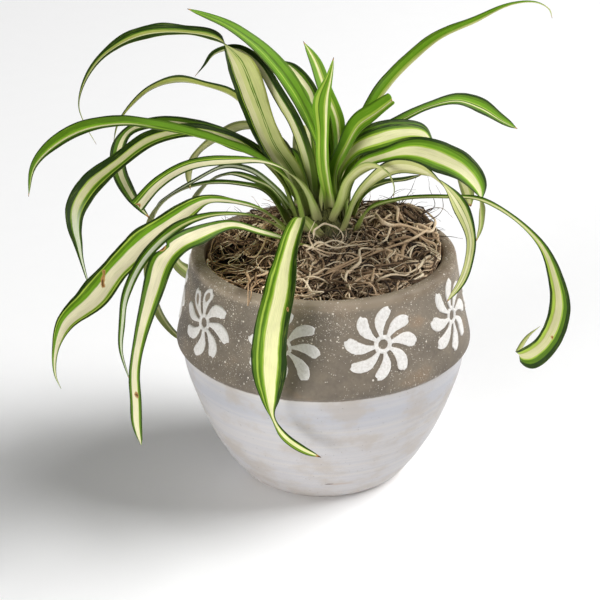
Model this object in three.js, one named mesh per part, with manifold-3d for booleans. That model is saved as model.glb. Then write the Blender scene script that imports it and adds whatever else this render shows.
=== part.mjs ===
// Variegated spider plant in a two-tone pot. Millimetres, +Z up, front towards -Y, base on z = 0.
import * as THREE from 'three';
import { mergeVertices } from 'three/addons/utils/BufferGeometryUtils.js';
import Module from 'manifold-3d';

const wasm = await Module();
wasm.setup();

// Pot: radius by height, outside and inside
const POT_HEIGHT = 120.7;
const BASE_RADIUS = 39;
const SHOULDER_RADIUS = 75;
const SHOULDER_HEIGHT = 76;
const BAND_LOW = 73;
const RIM_RADIUS = 66.6;
const WALL = 7;
const FLOOR = 9;
const POT_SIDES = 36;
const POT_OUTSIDE = [
  [BASE_RADIUS - 1, 0], [BASE_RADIUS + 0.6, 0.8], [43.4, 3.5], [48, 9.5], [54.2, 19], [60.8, 32],
  [66.1, 46], [70.4, 59], [72.2, BAND_LOW - 1], [74.3, BAND_LOW + 0.6],
  [SHOULDER_RADIUS, SHOULDER_HEIGHT], [SHOULDER_RADIUS - 0.5, SHOULDER_HEIGHT + 2.5],
  [RIM_RADIUS + 0.3, 117], [RIM_RADIUS - 0.2, 119.3], [RIM_RADIUS - 1.6, POT_HEIGHT],
];
const POT_INSIDE = [
  [RIM_RADIUS - WALL + 1.7, POT_HEIGHT], [RIM_RADIUS - WALL, 119], [RIM_RADIUS - WALL + 0.4, 114],
  [66.8, 83], [66.2, 69], [60.5, 50], [52.5, 30], [38, FLOOR],
];

// Raised flowers round the band: petals start at the hub and lean clockwise
const FLOWER_COUNT = 9;
const FLOWER_START = -66;
const FLOWER_HEIGHT = 98;
const PETAL_COUNT = 8;
const PETAL_REACH = 18.6;
const PETAL_WIDTH = 7.4;
const PETAL_LEAN = 0.35;
const PETAL_ROOT = 1.3;
const HUB_OUTSIDE = 4.4;
const HUB_INSIDE = 2.5;
const RELIEF = 0.8;
const RELIEF_ROOT = 1.6;

// Growing mix, crown and mat of dry roots
const GAP = 0.35;
const SOIL_EDGE = 110;
const SOIL_TOP = 112;
const CROWN_CENTRE = new THREE.Vector2(0, 5);
const CROWN_RADIUS = 19.5;
const CROWN_BASE = SOIL_TOP + 0.5;
const CROWN_SHOULDER = 125;
const CROWN_TOP = 148;
const CROWN_SIDES = 18;
const MAT_RADIUS = 57.5;
const MAT_LOW = 117;
const MAT_SECTORS = 24;
const MAT_RINGS = 6;
const STRAND_COUNT = 34;
const STRAND_STEPS = 5;
const STRAND_LENGTH = 52;
const STRAND_RADIUS = 1.35;

// Leaves: blade thickness, how far the edges rise, and how the blades give way to each other
const BLADE = 0.8;
const CHANNEL = 0.3;
const SOCKET_GAP = 0.45;
const SOCKET_DEPTH = 9;
const STATIONS = 40;
const CLEARANCE = 2.4;
const PASSES = 220;
const ROOT_STATIONS = 5;
const EASING = 0.25;
const GIVE = new THREE.Vector3(0.45, 1, 0.45);
const ACROSS = [-1, -0.67, -0.33, 0, 0.33, 0.67, 1];
const RING_SPACING = 11;

const COLOURS = {
  glaze: { color: 0x8d8478, roughness: 0.6, metalness: 0 },
  soil: { color: 0x2e251d, roughness: 1, metalness: 0 },
  fibre: { color: 0x9b835f, roughness: 0.95, metalness: 0 },
  crown: { color: 0x9aa964, roughness: 0.6, metalness: 0 },
  leaf: { color: 0x6f9a35, roughness: 0.45, metalness: 0 },
};

// Each leaf: the compass way its blade faces outwards (0 right, 90 back, 180 left, 270 front), then its
// route from root to tip as x, y, z, blade width, and where needed the turn of the blade in degrees,
// clockwise seen along the growth
const LEAVES = {
  left_bright_upright: {
    facing: 188,
    route: [
      [-2, 1, 142, 4], [0, 1, 166, 9, -20], [-5, 0, 185, 13, -35], [-12, -1, 201, 12, -40],
      [-20, -2, 214, 12, -40], [-30, -3, 226, 9.5, -40], [-45, -5, 238, 6, -35], [-64, -8, 247, 2, -30],
    ],
  },
  left_far_arch: {
    facing: 196,
    route: [
      [-7, 3, 137, 4, 40], [-16, 4, 157, 13, 60], [-26, 3, 174, 14, 60], [-33, -1, 194, 14.5, 60],
      [-38, -5, 212, 17, 50], [-42, -7, 223, 15, 35], [-49, -10, 233, 12, -10],
      [-67, -14, 238, 11.5, -12], [-86, -20, 238, 11, -15], [-103, -24, 229, 5.5, -20],
      [-112, -27, 217, 2.8, -20], [-115, -28, 206, 2.2], [-113, -27, 197, 1.8], [-108, -26, 186, 1],
    ],
  },
  left_inner_arch: {
    facing: 184,
    route: [
      [-4, 5, 142, 4, 60], [-7, 4, 164, 7, 70], [-14, 4, 186, 7.5, 70], [-23, 3, 203, 7, 70],
      [-32, 3, 218, 6.5, 60], [-42, 2, 225, 5.5, 50], [-52, 1, 223, 5.5, 40], [-57, 1, 217, 4, 20],
      [-62, 1, 211, 1.5],
    ],
  },
  left_olive_arch: {
    facing: 172,
    route: [
      [-8, 6, 137, 4, 40], [-23, 8, 171, 8, 45], [-34, 10, 188, 8, 50], [-45, 11, 199, 8, 50],
      [-58, 13, 203, 5.5, 50], [-71, 15, 205, 6.5, 50], [-85, 17, 200, 4, 50], [-95, 18, 191, 3.2, 40],
      [-102, 19, 181, 2.4, 20], [-105, 20, 171, 1.5],
    ],
  },
  left_long_arch: {
    facing: 202,
    route: [
      [-9, -4, 132, 4], [-15, -1, 157, 9, -5], [-28, -7, 171, 10, -10], [-43, -12, 180, 11, -15],
      [-59, -19, 188, 11, -15], [-77, -26, 195, 11, -15], [-95, -34, 200, 11, -15],
      [-113, -41, 199, 10, -20], [-127, -46, 192, 8, -25], [-135, -49, 183, 4.5, -25],
      [-138, -51, 169, 1, -20],
    ],
  },
  left_folded: {
    facing: 192,
    route: [
      [-12, 1, 132, 4], [-18, 0, 155, 8, -15], [-31, -3, 172, 9, -20], [-46, -5, 181, 10.5, -25],
      [-65, -9, 186, 9.5, -25], [-84, -13, 183, 12.5, -25], [-99, -16, 173, 11, -30],
      [-113, -19, 162, 14, -35], [-120, -21, 151, 13, -42], [-121, -22, 142, 8.5, -55],
      [-120, -22, 134, 5.5, -60], [-119, -22, 126, 3, -60], [-116, -22, 111, 1, -50],
    ],
  },
  left_behind: {
    facing: 178,
    route: [
      [-12, 9, 132, 4], [-27, 11, 165, 7], [-48, 9, 179, 9.5, -5], [-65, 7, 184, 10, -10],
      [-80, 8, 185, 10, -10], [-95, 8, 181, 7, -25], [-101, 9, 171, 10, -45], [-101, 9, 159, 11, -60],
      [-96, 8, 147, 8.5, -60], [-87, 8, 134, 1.5, -50],
    ],
  },
  left_broken: {
    facing: 205,
    route: [
      [-3, -3, 137, 4, 40], [-9, 0, 152, 5, 30], [-18, -4, 165, 5], [-31, -10, 174, 4, -15],
      [-47, -17, 176, 7, -20], [-65, -25, 175, 7, -25], [-79, -31, 168, 8, -25],
      [-89, -36, 158, 10.5, -25],
    ],
  },
  left_low_thin: {
    facing: 166,
    route: [
      [-11, 15, 131, 4], [-24, 16, 146, 6], [-37, 16, 157, 6], [-49, 17, 159, 5], [-65, 21, 150, 4],
      [-79, 25, 140, 3], [-85, 27, 134, 2.5], [-88, 28, 124, 1.5],
    ],
  },
  left_low_dark: {
    facing: 158,
    route: [
      [-16, 10, 127, 4], [-28, 16, 146, 6], [-42, 22, 148, 6], [-58, 28, 146, 7], [-74, 35, 139, 8],
      [-85, 39, 129, 9], [-91, 42, 115, 9], [-92, 42, 100, 9], [-91, 42, 83, 9], [-87, 40, 67, 8],
      [-78, 36, 56, 5], [-67, 33, 52, 1.5],
    ],
  },
  left_wavy_low: {
    facing: 145,
    route: [
      [-13, 15, 127, 4], [-25, 22, 144, 6], [-35, 29, 147, 7], [-47, 38, 147, 7], [-58, 45, 141, 8],
      [-66, 51, 130, 8], [-73, 56, 114, 8], [-78, 60, 99, 8], [-79, 60, 89, 8], [-72, 56, 84, 8, 35],
      [-64, 52, 79, 1.5, 40],
    ],
  },
  left_pale_hanging: {
    facing: 165,
    route: [
      [-6, 11, 137, 4, 10], [-13, 9, 160, 7, 30], [-19, 10, 173, 8, 40], [-29, 13, 179, 8, 50],
      [-41, 16, 180, 8, 50], [-53, 19, 173, 8, 40], [-64, 22, 163, 6, 30], [-68, 23, 153, 5.5, 20],
      [-68, 23, 143, 1.5, 20],
    ],
  },
  front_left_large: {
    facing: 217,
    route: [
      [-14, -3, 127, 4], [-27, -15, 146, 8, -5], [-40, -25, 155, 9, -5], [-55, -36, 160, 10.5, -5],
      [-67, -46, 156, 15, -10], [-82, -57, 148, 18, -15], [-96, -67, 138, 17, -15],
      [-107, -77, 127, 18.5, -15], [-119, -85, 119, 12, -10], [-124, -89, 107, 5.5],
      [-125, -89, 95, 2.5], [-123, -88, 87, 1.2],
    ],
  },
  front_left_notched: {
    facing: 232,
    route: [
      [-7, -10, 127, 4], [-30, -33, 144, 4, -50], [-44, -51, 155, 5, -60], [-58, -69, 157, 10, -50],
      [-67, -82, 157, 12, -20], [-73, -89, 152, 13.5, -10], [-77, -95, 141, 11, -10],
      [-83, -101, 121, 7, -10], [-86, -105, 105, 6.5, -5], [-86, -106, 90, 7.5], [-86, -106, 77, 6.5],
      [-85, -103, 65, 1.5],
    ],
  },
  front_left_narrow: {
    facing: 222,
    route: [
      [-10, -7, 128, 4], [-30, -22, 147, 6], [-42, -33, 154, 6.5], [-56, -45, 158, 7],
      [-68, -56, 157, 8], [-80, -67, 150, 8], [-87, -74, 142, 7], [-92, -78, 131, 6.5],
      [-94, -79, 118, 5.3], [-95, -79, 103, 3.5], [-92, -78, 87, 1.5],
    ],
  },
  upright_back_left: {
    facing: 134,
    route: [
      [0, 13, 138, 4], [8, 17, 160, 8], [8, 18, 181, 8.5], [1, 21, 198, 8.5], [-4, 27, 210, 7.5],
      [-10, 33, 219, 1],
    ],
  },
  upright_folded: {
    facing: 110,
    route: [
      [3, 2, 142, 4], [-1, 0, 166, 6.5], [-1, 0, 184, 7], [-1, 0, 199, 9.5], [3, 0, 212, 3.5],
      [5, 0, 221, 1],
    ],
  },
  upright_back: {
    facing: 80,
    route: [
      [1, 15, 135, 4], [6, 21, 159, 5.5], [5, 22, 174, 5.5], [3, 22, 187, 4.5], [3, 22, 196, 1.5],
    ],
  },
  upright_wavy: {
    facing: 172,
    route: [
      [-4, 8, 142, 4], [-1, 9, 165, 7, -25], [-4, 10, 183, 7.5, -45], [-6, 10, 199, 8.5, -45],
      [-14, 11, 210, 7.5, -45], [-21, 12, 216, 1.5, -40],
    ],
  },
  right_long_arch: {
    facing: 18,
    route: [
      [3, 10, 140, 4], [10, 15, 164, 7, 10], [21, 17, 183, 8.5, 25], [30, 15, 200, 8, 25],
      [43, 19, 214, 7.5, 25], [57, 24, 224, 7.5, 10], [75, 29, 231, 5.5, 10], [92, 35, 237, 4],
      [105, 39, 237, 3], [112, 41, 233, 2], [114, 42, 228, 1],
    ],
  },
  right_blunt: {
    facing: 5,
    route: [
      [8, 3, 137, 4, 20], [6, 6, 161, 11, 20], [11, 6, 174, 13.5, 20], [17, 6, 185, 14.5, 20],
      [25, 7, 191, 14, 20], [34, 8, 198, 11, 20],
    ],
  },
  right_back_arch: {
    facing: 28,
    route: [
      [5, 13, 136, 4, 10], [15, 14, 161, 6, 10], [26, 19, 175, 5.5, 20], [40, 26, 181, 5, 30],
      [54, 34, 185, 4.5, 40], [68, 41, 186, 6.5, 50], [81, 48, 180, 8.5, 60], [92, 54, 171, 6, 55],
      [101, 59, 164, 1.5, 50],
    ],
  },
  right_wide_dark: {
    facing: 20,
    route: [
      [9, 8, 137, 4, 20], [7, 7, 159, 6.5, 20], [15, 11, 173, 13, 25], [27, 15, 178, 16, 30],
      [41, 20, 178, 13, 30], [51, 24, 174, 12, 28], [57, 28, 164, 8, 10], [71, 31, 146, 11, -20],
      [76, 33, 131, 4, -60],
    ],
  },
  right_large: {
    facing: 351,
    route: [
      [12, 3, 133, 4, 10], [11, 0, 154, 8, 20], [17, -2, 166, 9.5, 20], [30, -3, 172, 9, 30],
      [43, -2, 174, 16, 35], [57, -4, 171, 20, 35], [69, -6, 165, 18, 30], [77, -7, 155, 14.5, 15],
      [78, -7, 144, 6, -30], [78, -7, 136, 3, -50], [76, -7, 128, 1.5, -50],
    ],
  },
  right_hooked: {
    facing: 322,
    route: [
      [5, -2, 137, 4, -10], [10, -1, 149, 6, -30], [13, -5, 161, 5.5, -40], [22, -12, 170, 6.5, -40],
      [30, -18, 170, 4.5, -20], [34, -22, 164, 2.5, -20], [34, -22, 157, 1.2],
    ],
  },
  right_inner_droop: {
    facing: 335,
    route: [
      [10, -3, 132, 4], [16, -5, 150, 6, -20], [24, -8, 161, 7.5, -50], [35, -12, 169, 10.5, -60],
      [47, -18, 170, 10.5, -55], [57, -25, 166, 7, -20], [66, -32, 156, 8.5, 45], [71, -38, 143, 5.5, 70],
      [70, -42, 132, 4.5, 70], [67, -42, 122, 4, 60], [60, -40, 110, 1.2, 50],
    ],
  },
  right_low_dark: {
    facing: 36,
    route: [
      [13, 16, 127, 4], [21, 20, 144, 6], [31, 28, 146, 7], [42, 35, 145, 6], [51, 42, 145, 2],
    ],
  },
  right_trailing: {
    facing: 341,
    route: [
      [16, 6, 127, 4], [23, -3, 144, 5], [38, -8, 151, 4.5], [57, -15, 155, 4], [76, -21, 156, 3.5, 10],
      [92, -27, 149, 2.5, 30], [106, -31, 136, 4, 55], [113, -34, 121, 8, 75],
      [116, -35, 106, 11, 80], [114, -35, 93, 11.5, 80], [109, -33, 82, 12, 80],
      [102, -30, 75, 12.5, 80], [98, -25, 74, 8, 70], [102, -22, 82, 4.5, 60], [108, -25, 90, 1.2, 60],
    ],
  },
  front_drape: {
    facing: 262,
    route: [
      [-2, -8, 131, 4], [-10, -18, 145, 5], [-13, -38, 149, 9], [-17, -60, 144, 11.5],
      [-20, -79, 133, 16], [-24, -88, 115, 18], [-25, -88, 98, 18], [-25, -86, 82, 10, -10],
      [-24, -84, 70, 2.5, -60], [-19, -82, 59, 4, -50], [-10, -81, 51, 4, -40], [-1, -82, 47, 1.5, -30],
    ],
  },
  back_drape_left: {
    facing: 98,
    route: [
      [-3, 17, 132, 4], [-5, 26, 154, 8], [-7, 42, 167, 10], [-9, 62, 165, 11], [-11, 79, 149, 11],
      [-12, 88, 125, 9], [-12, 92, 99, 7], [-11, 94, 79, 1.5],
    ],
  },
  back_drape_right: {
    facing: 84,
    route: [
      [3, 17, 132, 4], [4, 28, 153, 8], [7, 48, 163, 10], [9, 70, 157, 11], [11, 84, 137, 9],
      [12, 90, 111, 6], [13, 92, 91, 1.5],
    ],
  },
  back_right_low: {
    facing: 58,
    route: [
      [8, 15, 132, 4], [12, 26, 148, 8], [23, 44, 154, 9], [32, 58, 150, 7], [38, 68, 142, 4.5],
      [41, 75, 133, 1.5],
    ],
  },
  back_left_drape: {
    facing: 107,
    route: [
      [-8, 16, 131, 4], [-12, 26, 148, 8], [-17, 42, 156, 10], [-23, 58, 153, 8.5], [-27, 69, 146, 5],
      [-29, 76, 138, 1.5],
    ],
  },
};

const radians = THREE.MathUtils.degToRad;

// Seeded draw for the strands of the mat
let seed = 4021;
function draw(low, high) {
  seed = (seed * 16807) % 2147483647;
  return low + (high - low) * (seed / 2147483647);
}

// Closed geometry to solid and back
function toSolid(geometry) {
  const bare = geometry.index ? geometry.toNonIndexed() : geometry.clone();
  bare.deleteAttribute('normal');
  bare.deleteAttribute('uv');
  const merged = mergeVertices(bare, 1e-4);
  const mesh = new wasm.Mesh({
    numProp: 3,
    vertProperties: Float32Array.from(merged.attributes.position.array),
    triVerts: Uint32Array.from(merged.index.array),
  });
  return new wasm.Manifold(mesh);
}

function toGeometry(solid) {
  const mesh = solid.getMesh();
  const geometry = new THREE.BufferGeometry();
  const points = new Float32Array(mesh.numVert * 3);
  for (let i = 0; i < mesh.numVert; i++) {
    for (let k = 0; k < 3; k++) points[3 * i + k] = mesh.vertProperties[i * mesh.numProp + k];
  }
  geometry.setAttribute('position', new THREE.BufferAttribute(points, 3));
  geometry.setIndex(new THREE.BufferAttribute(Uint32Array.from(mesh.triVerts), 1));
  return geometry;
}

function geometryFrom(points, faces) {
  const geometry = new THREE.BufferGeometry();
  const flat = points.flatMap((point) => [point.x, point.y, point.z]);
  geometry.setAttribute('position', new THREE.Float32BufferAttribute(flat, 3));
  geometry.setIndex(faces.flat());
  return geometry;
}

// The largest of the bodies that a cut leaves, without loose scraps
function largestBody(solid) {
  const bodies = solid.decompose();
  return bodies.reduce((best, body) => (body.volume() > best.volume() ? body : best));
}

// Lathe about +Z from radius and height pairs
function turned(profile, sides) {
  const points = profile.map(([radius, height]) => new THREE.Vector2(radius, height));
  const geometry = new THREE.LatheGeometry(points, sides);
  geometry.rotateX(Math.PI / 2);
  return geometry;
}

// Wall radius at a height, read off the outside profile
function wallRadius(height) {
  for (let i = 1; i < POT_OUTSIDE.length; i++) {
    const [r0, z0] = POT_OUTSIDE[i - 1];
    const [r1, z1] = POT_OUTSIDE[i];
    if (height <= z1) return THREE.MathUtils.lerp(r0, r1, (height - z0) / (z1 - z0));
  }
  return RIM_RADIUS;
}

// A flat outline (across, up) laid on the pot wall round one azimuth as a raised plate
function raisedPlate(shape, azimuth) {
  const depth = RELIEF + RELIEF_ROOT;
  const plate = new THREE.ExtrudeGeometry(shape, { depth, steps: 1, bevelEnabled: false });
  const position = plate.attributes.position;
  for (let i = 0; i < position.count; i++) {
    const height = FLOWER_HEIGHT + position.getY(i);
    const radius = wallRadius(height) - RELIEF_ROOT + position.getZ(i);
    const angle = azimuth + position.getX(i) / wallRadius(FLOWER_HEIGHT);
    position.setXYZ(i, radius * Math.cos(angle), radius * Math.sin(angle), height);
  }
  return toSolid(plate);
}

// One flower: eight petals with rounded ends on a ring, each bent clockwise as it goes out
function flowerShape() {
  const half = [[0, PETAL_ROOT / 2], [0.68, PETAL_WIDTH / 2], [0.96, PETAL_WIDTH / 4]];
  const mirrored = half.map(([t, w]) => [t, -w]).reverse();
  const outline = [];
  for (let petal = 0; petal < PETAL_COUNT; petal++) {
    const turn = (-2 * Math.PI * petal) / PETAL_COUNT;
    for (const [t, w] of [...half, ...mirrored]) {
      const out = THREE.MathUtils.lerp(HUB_OUTSIDE, PETAL_REACH, t);
      const angle = turn - PETAL_LEAN * (t * t - 0.4) + w / out;
      outline.push(new THREE.Vector2(out * Math.cos(angle), out * Math.sin(angle)));
    }
  }
  const shape = new THREE.Shape(outline);
  const hole = [];
  for (let i = 0; i < 8; i++) {
    const angle = radians(45 * i);
    hole.push(new THREE.Vector2(HUB_INSIDE * Math.cos(angle), HUB_INSIDE * Math.sin(angle)));
  }
  shape.holes.push(new THREE.Path(hole));
  return shape;
}

function pot() {
  const profile = [[0, 0], ...POT_OUTSIDE, ...POT_INSIDE, [0, FLOOR]];
  let body = toSolid(turned(profile, POT_SIDES));
  for (let flower = 0; flower < FLOWER_COUNT; flower++) {
    const azimuth = radians(FLOWER_START + (360 / FLOWER_COUNT) * flower);
    body = body.add(raisedPlate(flowerShape(), azimuth));
  }
  return toGeometry(body);
}

function pottingSoil() {
  const inside = POT_INSIDE.filter(([, height]) => height < SOIL_EDGE).reverse();
  const wall = inside.map(([radius, height]) => [radius - GAP - 0.15, Math.max(height, FLOOR + GAP)]);
  const profile = [[0, FLOOR + GAP], ...wall, [60.4, SOIL_EDGE], [30, SOIL_TOP - 0.5], [0, SOIL_TOP]];
  return toGeometry(toSolid(turned(profile, POT_SIDES)));
}

// Height of the mat: low along the front, heaped up round the crown and at the back on both sides
function matHeight(x, y) {
  const across = (0.8 * x + 0.6 * y) / MAT_RADIUS;
  const right = 11 * Math.exp(-(((x - 34) / 25) ** 2) - ((y - 26) / 23) ** 2);
  const left = 9 * Math.exp(-(((x + 22) / 24) ** 2) - ((y - 26) / 22) ** 2);
  const neck = 9 * Math.exp(-((x / 26) ** 2) - ((y - 3) / 22) ** 2);
  const lumps = 1.1 * Math.sin(x * 0.31 + 1) * Math.cos(y * 0.27) + 0.8 * Math.sin(x * 0.13 - y * 0.41);
  return MAT_LOW + 3.2 * across + right + left + neck + lumps;
}

function matEdge(angle) {
  return MAT_RADIUS + 1.1 * Math.sin(5 * angle) + 0.4 * Math.sin(11 * angle + 1);
}

// Core of the mat: a lumpy mound lying on the soil
function matCore() {
  const points = [new THREE.Vector3(0, 0, matHeight(0, 0)), new THREE.Vector3(0, 0, SOIL_TOP + GAP)];
  const faces = [];
  const at = (ring, sector) => 2 + (ring - 1) * MAT_SECTORS + (sector % MAT_SECTORS);
  for (let ring = 1; ring <= MAT_RINGS + 1; ring++) {
    for (let sector = 0; sector < MAT_SECTORS; sector++) {
      const angle = (2 * Math.PI * sector) / MAT_SECTORS;
      const under = ring > MAT_RINGS;
      const reach = (under ? 0.97 : ring / MAT_RINGS) * matEdge(angle);
      const x = reach * Math.cos(angle);
      const y = reach * Math.sin(angle);
      const droop = ring === MAT_RINGS ? 2.5 : 0;
      const height = under ? SOIL_TOP + GAP : matHeight(x, y) - droop;
      points.push(new THREE.Vector3(x, y, height));
    }
  }
  for (let sector = 0; sector < MAT_SECTORS; sector++) {
    faces.push([0, at(1, sector), at(1, sector + 1)]);
    faces.push([1, at(MAT_RINGS + 1, sector + 1), at(MAT_RINGS + 1, sector)]);
    for (let ring = 1; ring <= MAT_RINGS; ring++) {
      faces.push([at(ring, sector), at(ring + 1, sector), at(ring + 1, sector + 1)]);
      faces.push([at(ring, sector), at(ring + 1, sector + 1), at(ring, sector + 1)]);
    }
  }
  return toSolid(geometryFrom(points, faces));
}

// One dry root: a three-sided strand that rises from the mat, wanders over it and sinks in again
function strand() {
  const start = draw(0, 2 * Math.PI);
  const reach = Math.sqrt(draw(0.06, 0.8)) * MAT_RADIUS;
  let heading = draw(0, 2 * Math.PI);
  let x = reach * Math.cos(start);
  let y = reach * Math.sin(start);
  const bend = draw(-0.6, 0.6);
  const rise = draw(0.9, 3.4);
  const stride = (STRAND_LENGTH / STRAND_STEPS) * draw(0.7, 1.1);
  const points = [];
  for (let step = 0; step <= STRAND_STEPS; step++) {
    const limit = 0.93 * MAT_RADIUS;
    const away = Math.hypot(x, y);
    if (away > limit) {
      x *= limit / away;
      y *= limit / away;
      heading += 1.3;
    }
    const sunk = step % STRAND_STEPS ? 0 : -1.6;
    const lift = rise * Math.sin((Math.PI * step) / STRAND_STEPS) ** 0.6 + sunk;
    points.push(new THREE.Vector3(x, y, matHeight(x, y) + lift));
    heading += bend + draw(-0.2, 0.2);
    x += stride * Math.cos(heading);
    y += stride * Math.sin(heading);
  }
  return toSolid(tube(points, STRAND_RADIUS * draw(0.8, 1.25), 3));
}

// Closed tube through points, its section turned with the bends
function tube(points, radius, sides) {
  const rings = [];
  const frames = bladeFrames(points, new THREE.Vector3(0.3, 0.4, 0.87));
  points.forEach((point, i) => {
    const { side, face } = frames[i];
    for (let k = 0; k < sides; k++) {
      const angle = (2 * Math.PI * k) / sides;
      const offset = side.clone().multiplyScalar(radius * Math.cos(angle));
      offset.addScaledVector(face, radius * Math.sin(angle));
      rings.push(point.clone().add(offset));
    }
  });
  return geometryFrom(rings, loftFaces(points.length, sides));
}

// Faces of a lofted body whose rings run anticlockwise about the route
function loftFaces(ringCount, sides) {
  const faces = [];
  for (let ring = 0; ring + 1 < ringCount; ring++) {
    for (let k = 0; k < sides; k++) {
      const a = ring * sides + k;
      const b = ring * sides + ((k + 1) % sides);
      faces.push([a, b, b + sides], [a, b + sides, a + sides]);
    }
  }
  const last = (ringCount - 1) * sides;
  for (let k = 1; k + 1 < sides; k++) {
    faces.push([0, k + 1, k], [last, last + k, last + k + 1]);
  }
  return faces;
}

// Frames along a route that turn no more than the route bends
function bladeFrames(points, firstSide) {
  const tangents = points.map((_, i) => {
    const next = points[Math.min(i + 1, points.length - 1)];
    const before = points[Math.max(i - 1, 0)];
    return next.clone().sub(before).normalize();
  });
  const side = firstSide.clone().addScaledVector(tangents[0], -firstSide.dot(tangents[0])).normalize();
  const frames = [];
  points.forEach((_, i) => {
    if (i > 0) {
      const step = points[i].clone().sub(points[i - 1]);
      const carried = tangents[i - 1].clone();
      const c1 = 2 / step.dot(step);
      side.addScaledVector(step, -c1 * step.dot(side));
      carried.addScaledVector(step, -c1 * step.dot(carried));
      const lean = tangents[i].clone().sub(carried);
      const c2 = lean.dot(lean);
      if (c2 > 1e-12) side.addScaledVector(lean, (-2 / c2) * lean.dot(side));
      side.addScaledVector(tangents[i], -side.dot(tangents[i])).normalize();
    }
    const face = tangents[i].clone().cross(side);
    frames.push({ tangent: tangents[i], side: side.clone(), face });
  });
  return frames;
}

// Centripetal spline through the route rows, evenly stepped between them
function alongRoute(rows, steps) {
  const mirror = (a, b) => a.map((value, k) => 2 * value - b[k]);
  const full = rows.map((row) => [...row.slice(0, 4), row[4] ?? 0]);
  const last = full.length - 1;
  const knots = [mirror(full[0], full[1]), ...full, mirror(full[last], full[last - 1])];
  const apart = (a, b) => Math.max(Math.hypot(a[0] - b[0], a[1] - b[1], a[2] - b[2]), 1e-6) ** 0.5;
  const mix = (a, b, ta, tb, t) => a.map((value, k) => (value * (tb - t) + b[k] * (t - ta)) / (tb - ta));
  const samples = [];
  for (let step = 0; step <= steps; step++) {
    const s = (step / steps) * last;
    const i = Math.min(Math.floor(s), last - 1);
    const [p0, p1, p2, p3] = knots.slice(i, i + 4);
    const t1 = apart(p0, p1);
    const t2 = t1 + apart(p1, p2);
    const t3 = t2 + apart(p2, p3);
    const t = t1 + (s - i) * (t2 - t1);
    const a = mix(p0, p1, 0, t1, t);
    const b = mix(p1, p2, t1, t2, t);
    const c = mix(p2, p3, t2, t3, t);
    samples.push(mix(mix(a, b, 0, t2, t), mix(b, c, t1, t3, t), t1, t2, t));
  }
  return samples;
}

// A leaf's stations: centre, width and turn, plus the frame of its blade
function growLeaf(name, { facing, route }) {
  const samples = alongRoute(route, STATIONS);
  const leaf = {
    name,
    facing: radians(facing),
    route: samples.map(([x, y, z]) => new THREE.Vector3(x, y, z)),
    centres: samples.map(([x, y, z]) => new THREE.Vector3(x, y, z)),
    widths: samples.map((row) => Math.max(row[3], 0.9)),
    turns: samples.map((row) => radians(row[4])),
  };
  setFrames(leaf);
  return leaf;
}

function setFrames(leaf) {
  const outwards = new THREE.Vector3(-Math.sin(leaf.facing), Math.cos(leaf.facing), 0);
  leaf.frames = bladeFrames(leaf.centres, outwards).map(({ tangent, side, face }, i) => {
    const turn = leaf.turns[i];
    const turnedSide = side.clone().multiplyScalar(Math.cos(turn)).addScaledVector(face, Math.sin(turn));
    return { tangent, side: turnedSide, face: tangent.clone().cross(turnedSide) };
  });
}

// Point of a blade: across runs from -1 to 1 over its width, and the edges rise into a channel
function bladePoint(leaf, station, across, widen = 0) {
  const half = leaf.widths[station] / 2 + widen;
  const { side, face } = leaf.frames[station];
  const point = leaf.centres[station].clone();
  point.addScaledVector(side, half * across * Math.cos(CHANNEL));
  return point.addScaledVector(face, half * (Math.abs(across) - 0.5) * Math.sin(CHANNEL));
}

// Leaves that press on each other bend apart, mostly towards the front and the back, and stay
// where they are rooted
function bendApart(leaves) {
  const cell = CLEARANCE;
  for (let pass = 0; pass < PASSES; pass++) {
    const cells = new Map();
    const marks = [];
    leaves.forEach((leaf, owner) => {
      for (let station = 0; station <= STATIONS; station++) {
        for (const across of ACROSS) {
          const point = bladePoint(leaf, station, across);
          marks.push({ owner, station, point });
        }
      }
    });
    const key = (i, j, k) => ((i + 512) * 1024 + (j + 512)) * 1024 + (k + 512);
    marks.forEach((mark, index) => {
      mark.cell = ['x', 'y', 'z'].map((axis) => Math.floor(mark.point[axis] / cell));
      const id = key(...mark.cell);
      if (!cells.has(id)) cells.set(id, []);
      cells.get(id).push(index);
    });
    const pushes = leaves.map(() => Array.from({ length: STATIONS + 1 }, () => ({
      sum: new THREE.Vector3(),
      count: 0,
    })));
    marks.forEach((mark, index) => {
      const [i, j, k] = mark.cell;
      for (let di = -1; di <= 1; di++) {
        for (let dj = -1; dj <= 1; dj++) {
          for (let dk = -1; dk <= 1; dk++) {
            for (const otherIndex of cells.get(key(i + di, j + dj, k + dk)) ?? []) {
              if (otherIndex <= index || marks[otherIndex].owner === mark.owner) continue;
              press(leaves, pushes, mark, marks[otherIndex]);
            }
          }
        }
      }
    });
    leaves.forEach((leaf, owner) => yieldTo(leaf, pushes[owner]));
  }
}

function press(leaves, pushes, one, other) {
  const distance = one.point.distanceTo(other.point);
  if (distance >= CLEARANCE) return;
  const leaf = leaves[one.owner];
  const away = leaf.centres[one.station].clone().sub(leaves[other.owner].centres[other.station]);
  const tangent = leaf.frames[one.station].tangent;
  away.addScaledVector(tangent, -away.dot(tangent));
  if (away.length() < 1e-6) return;
  away.normalize().multiplyScalar((CLEARANCE - distance) / 2);
  const mine = pushes[one.owner][one.station];
  const theirs = pushes[other.owner][other.station];
  mine.sum.add(away);
  mine.count += 1;
  theirs.sum.sub(away);
  theirs.count += 1;
}

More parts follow.
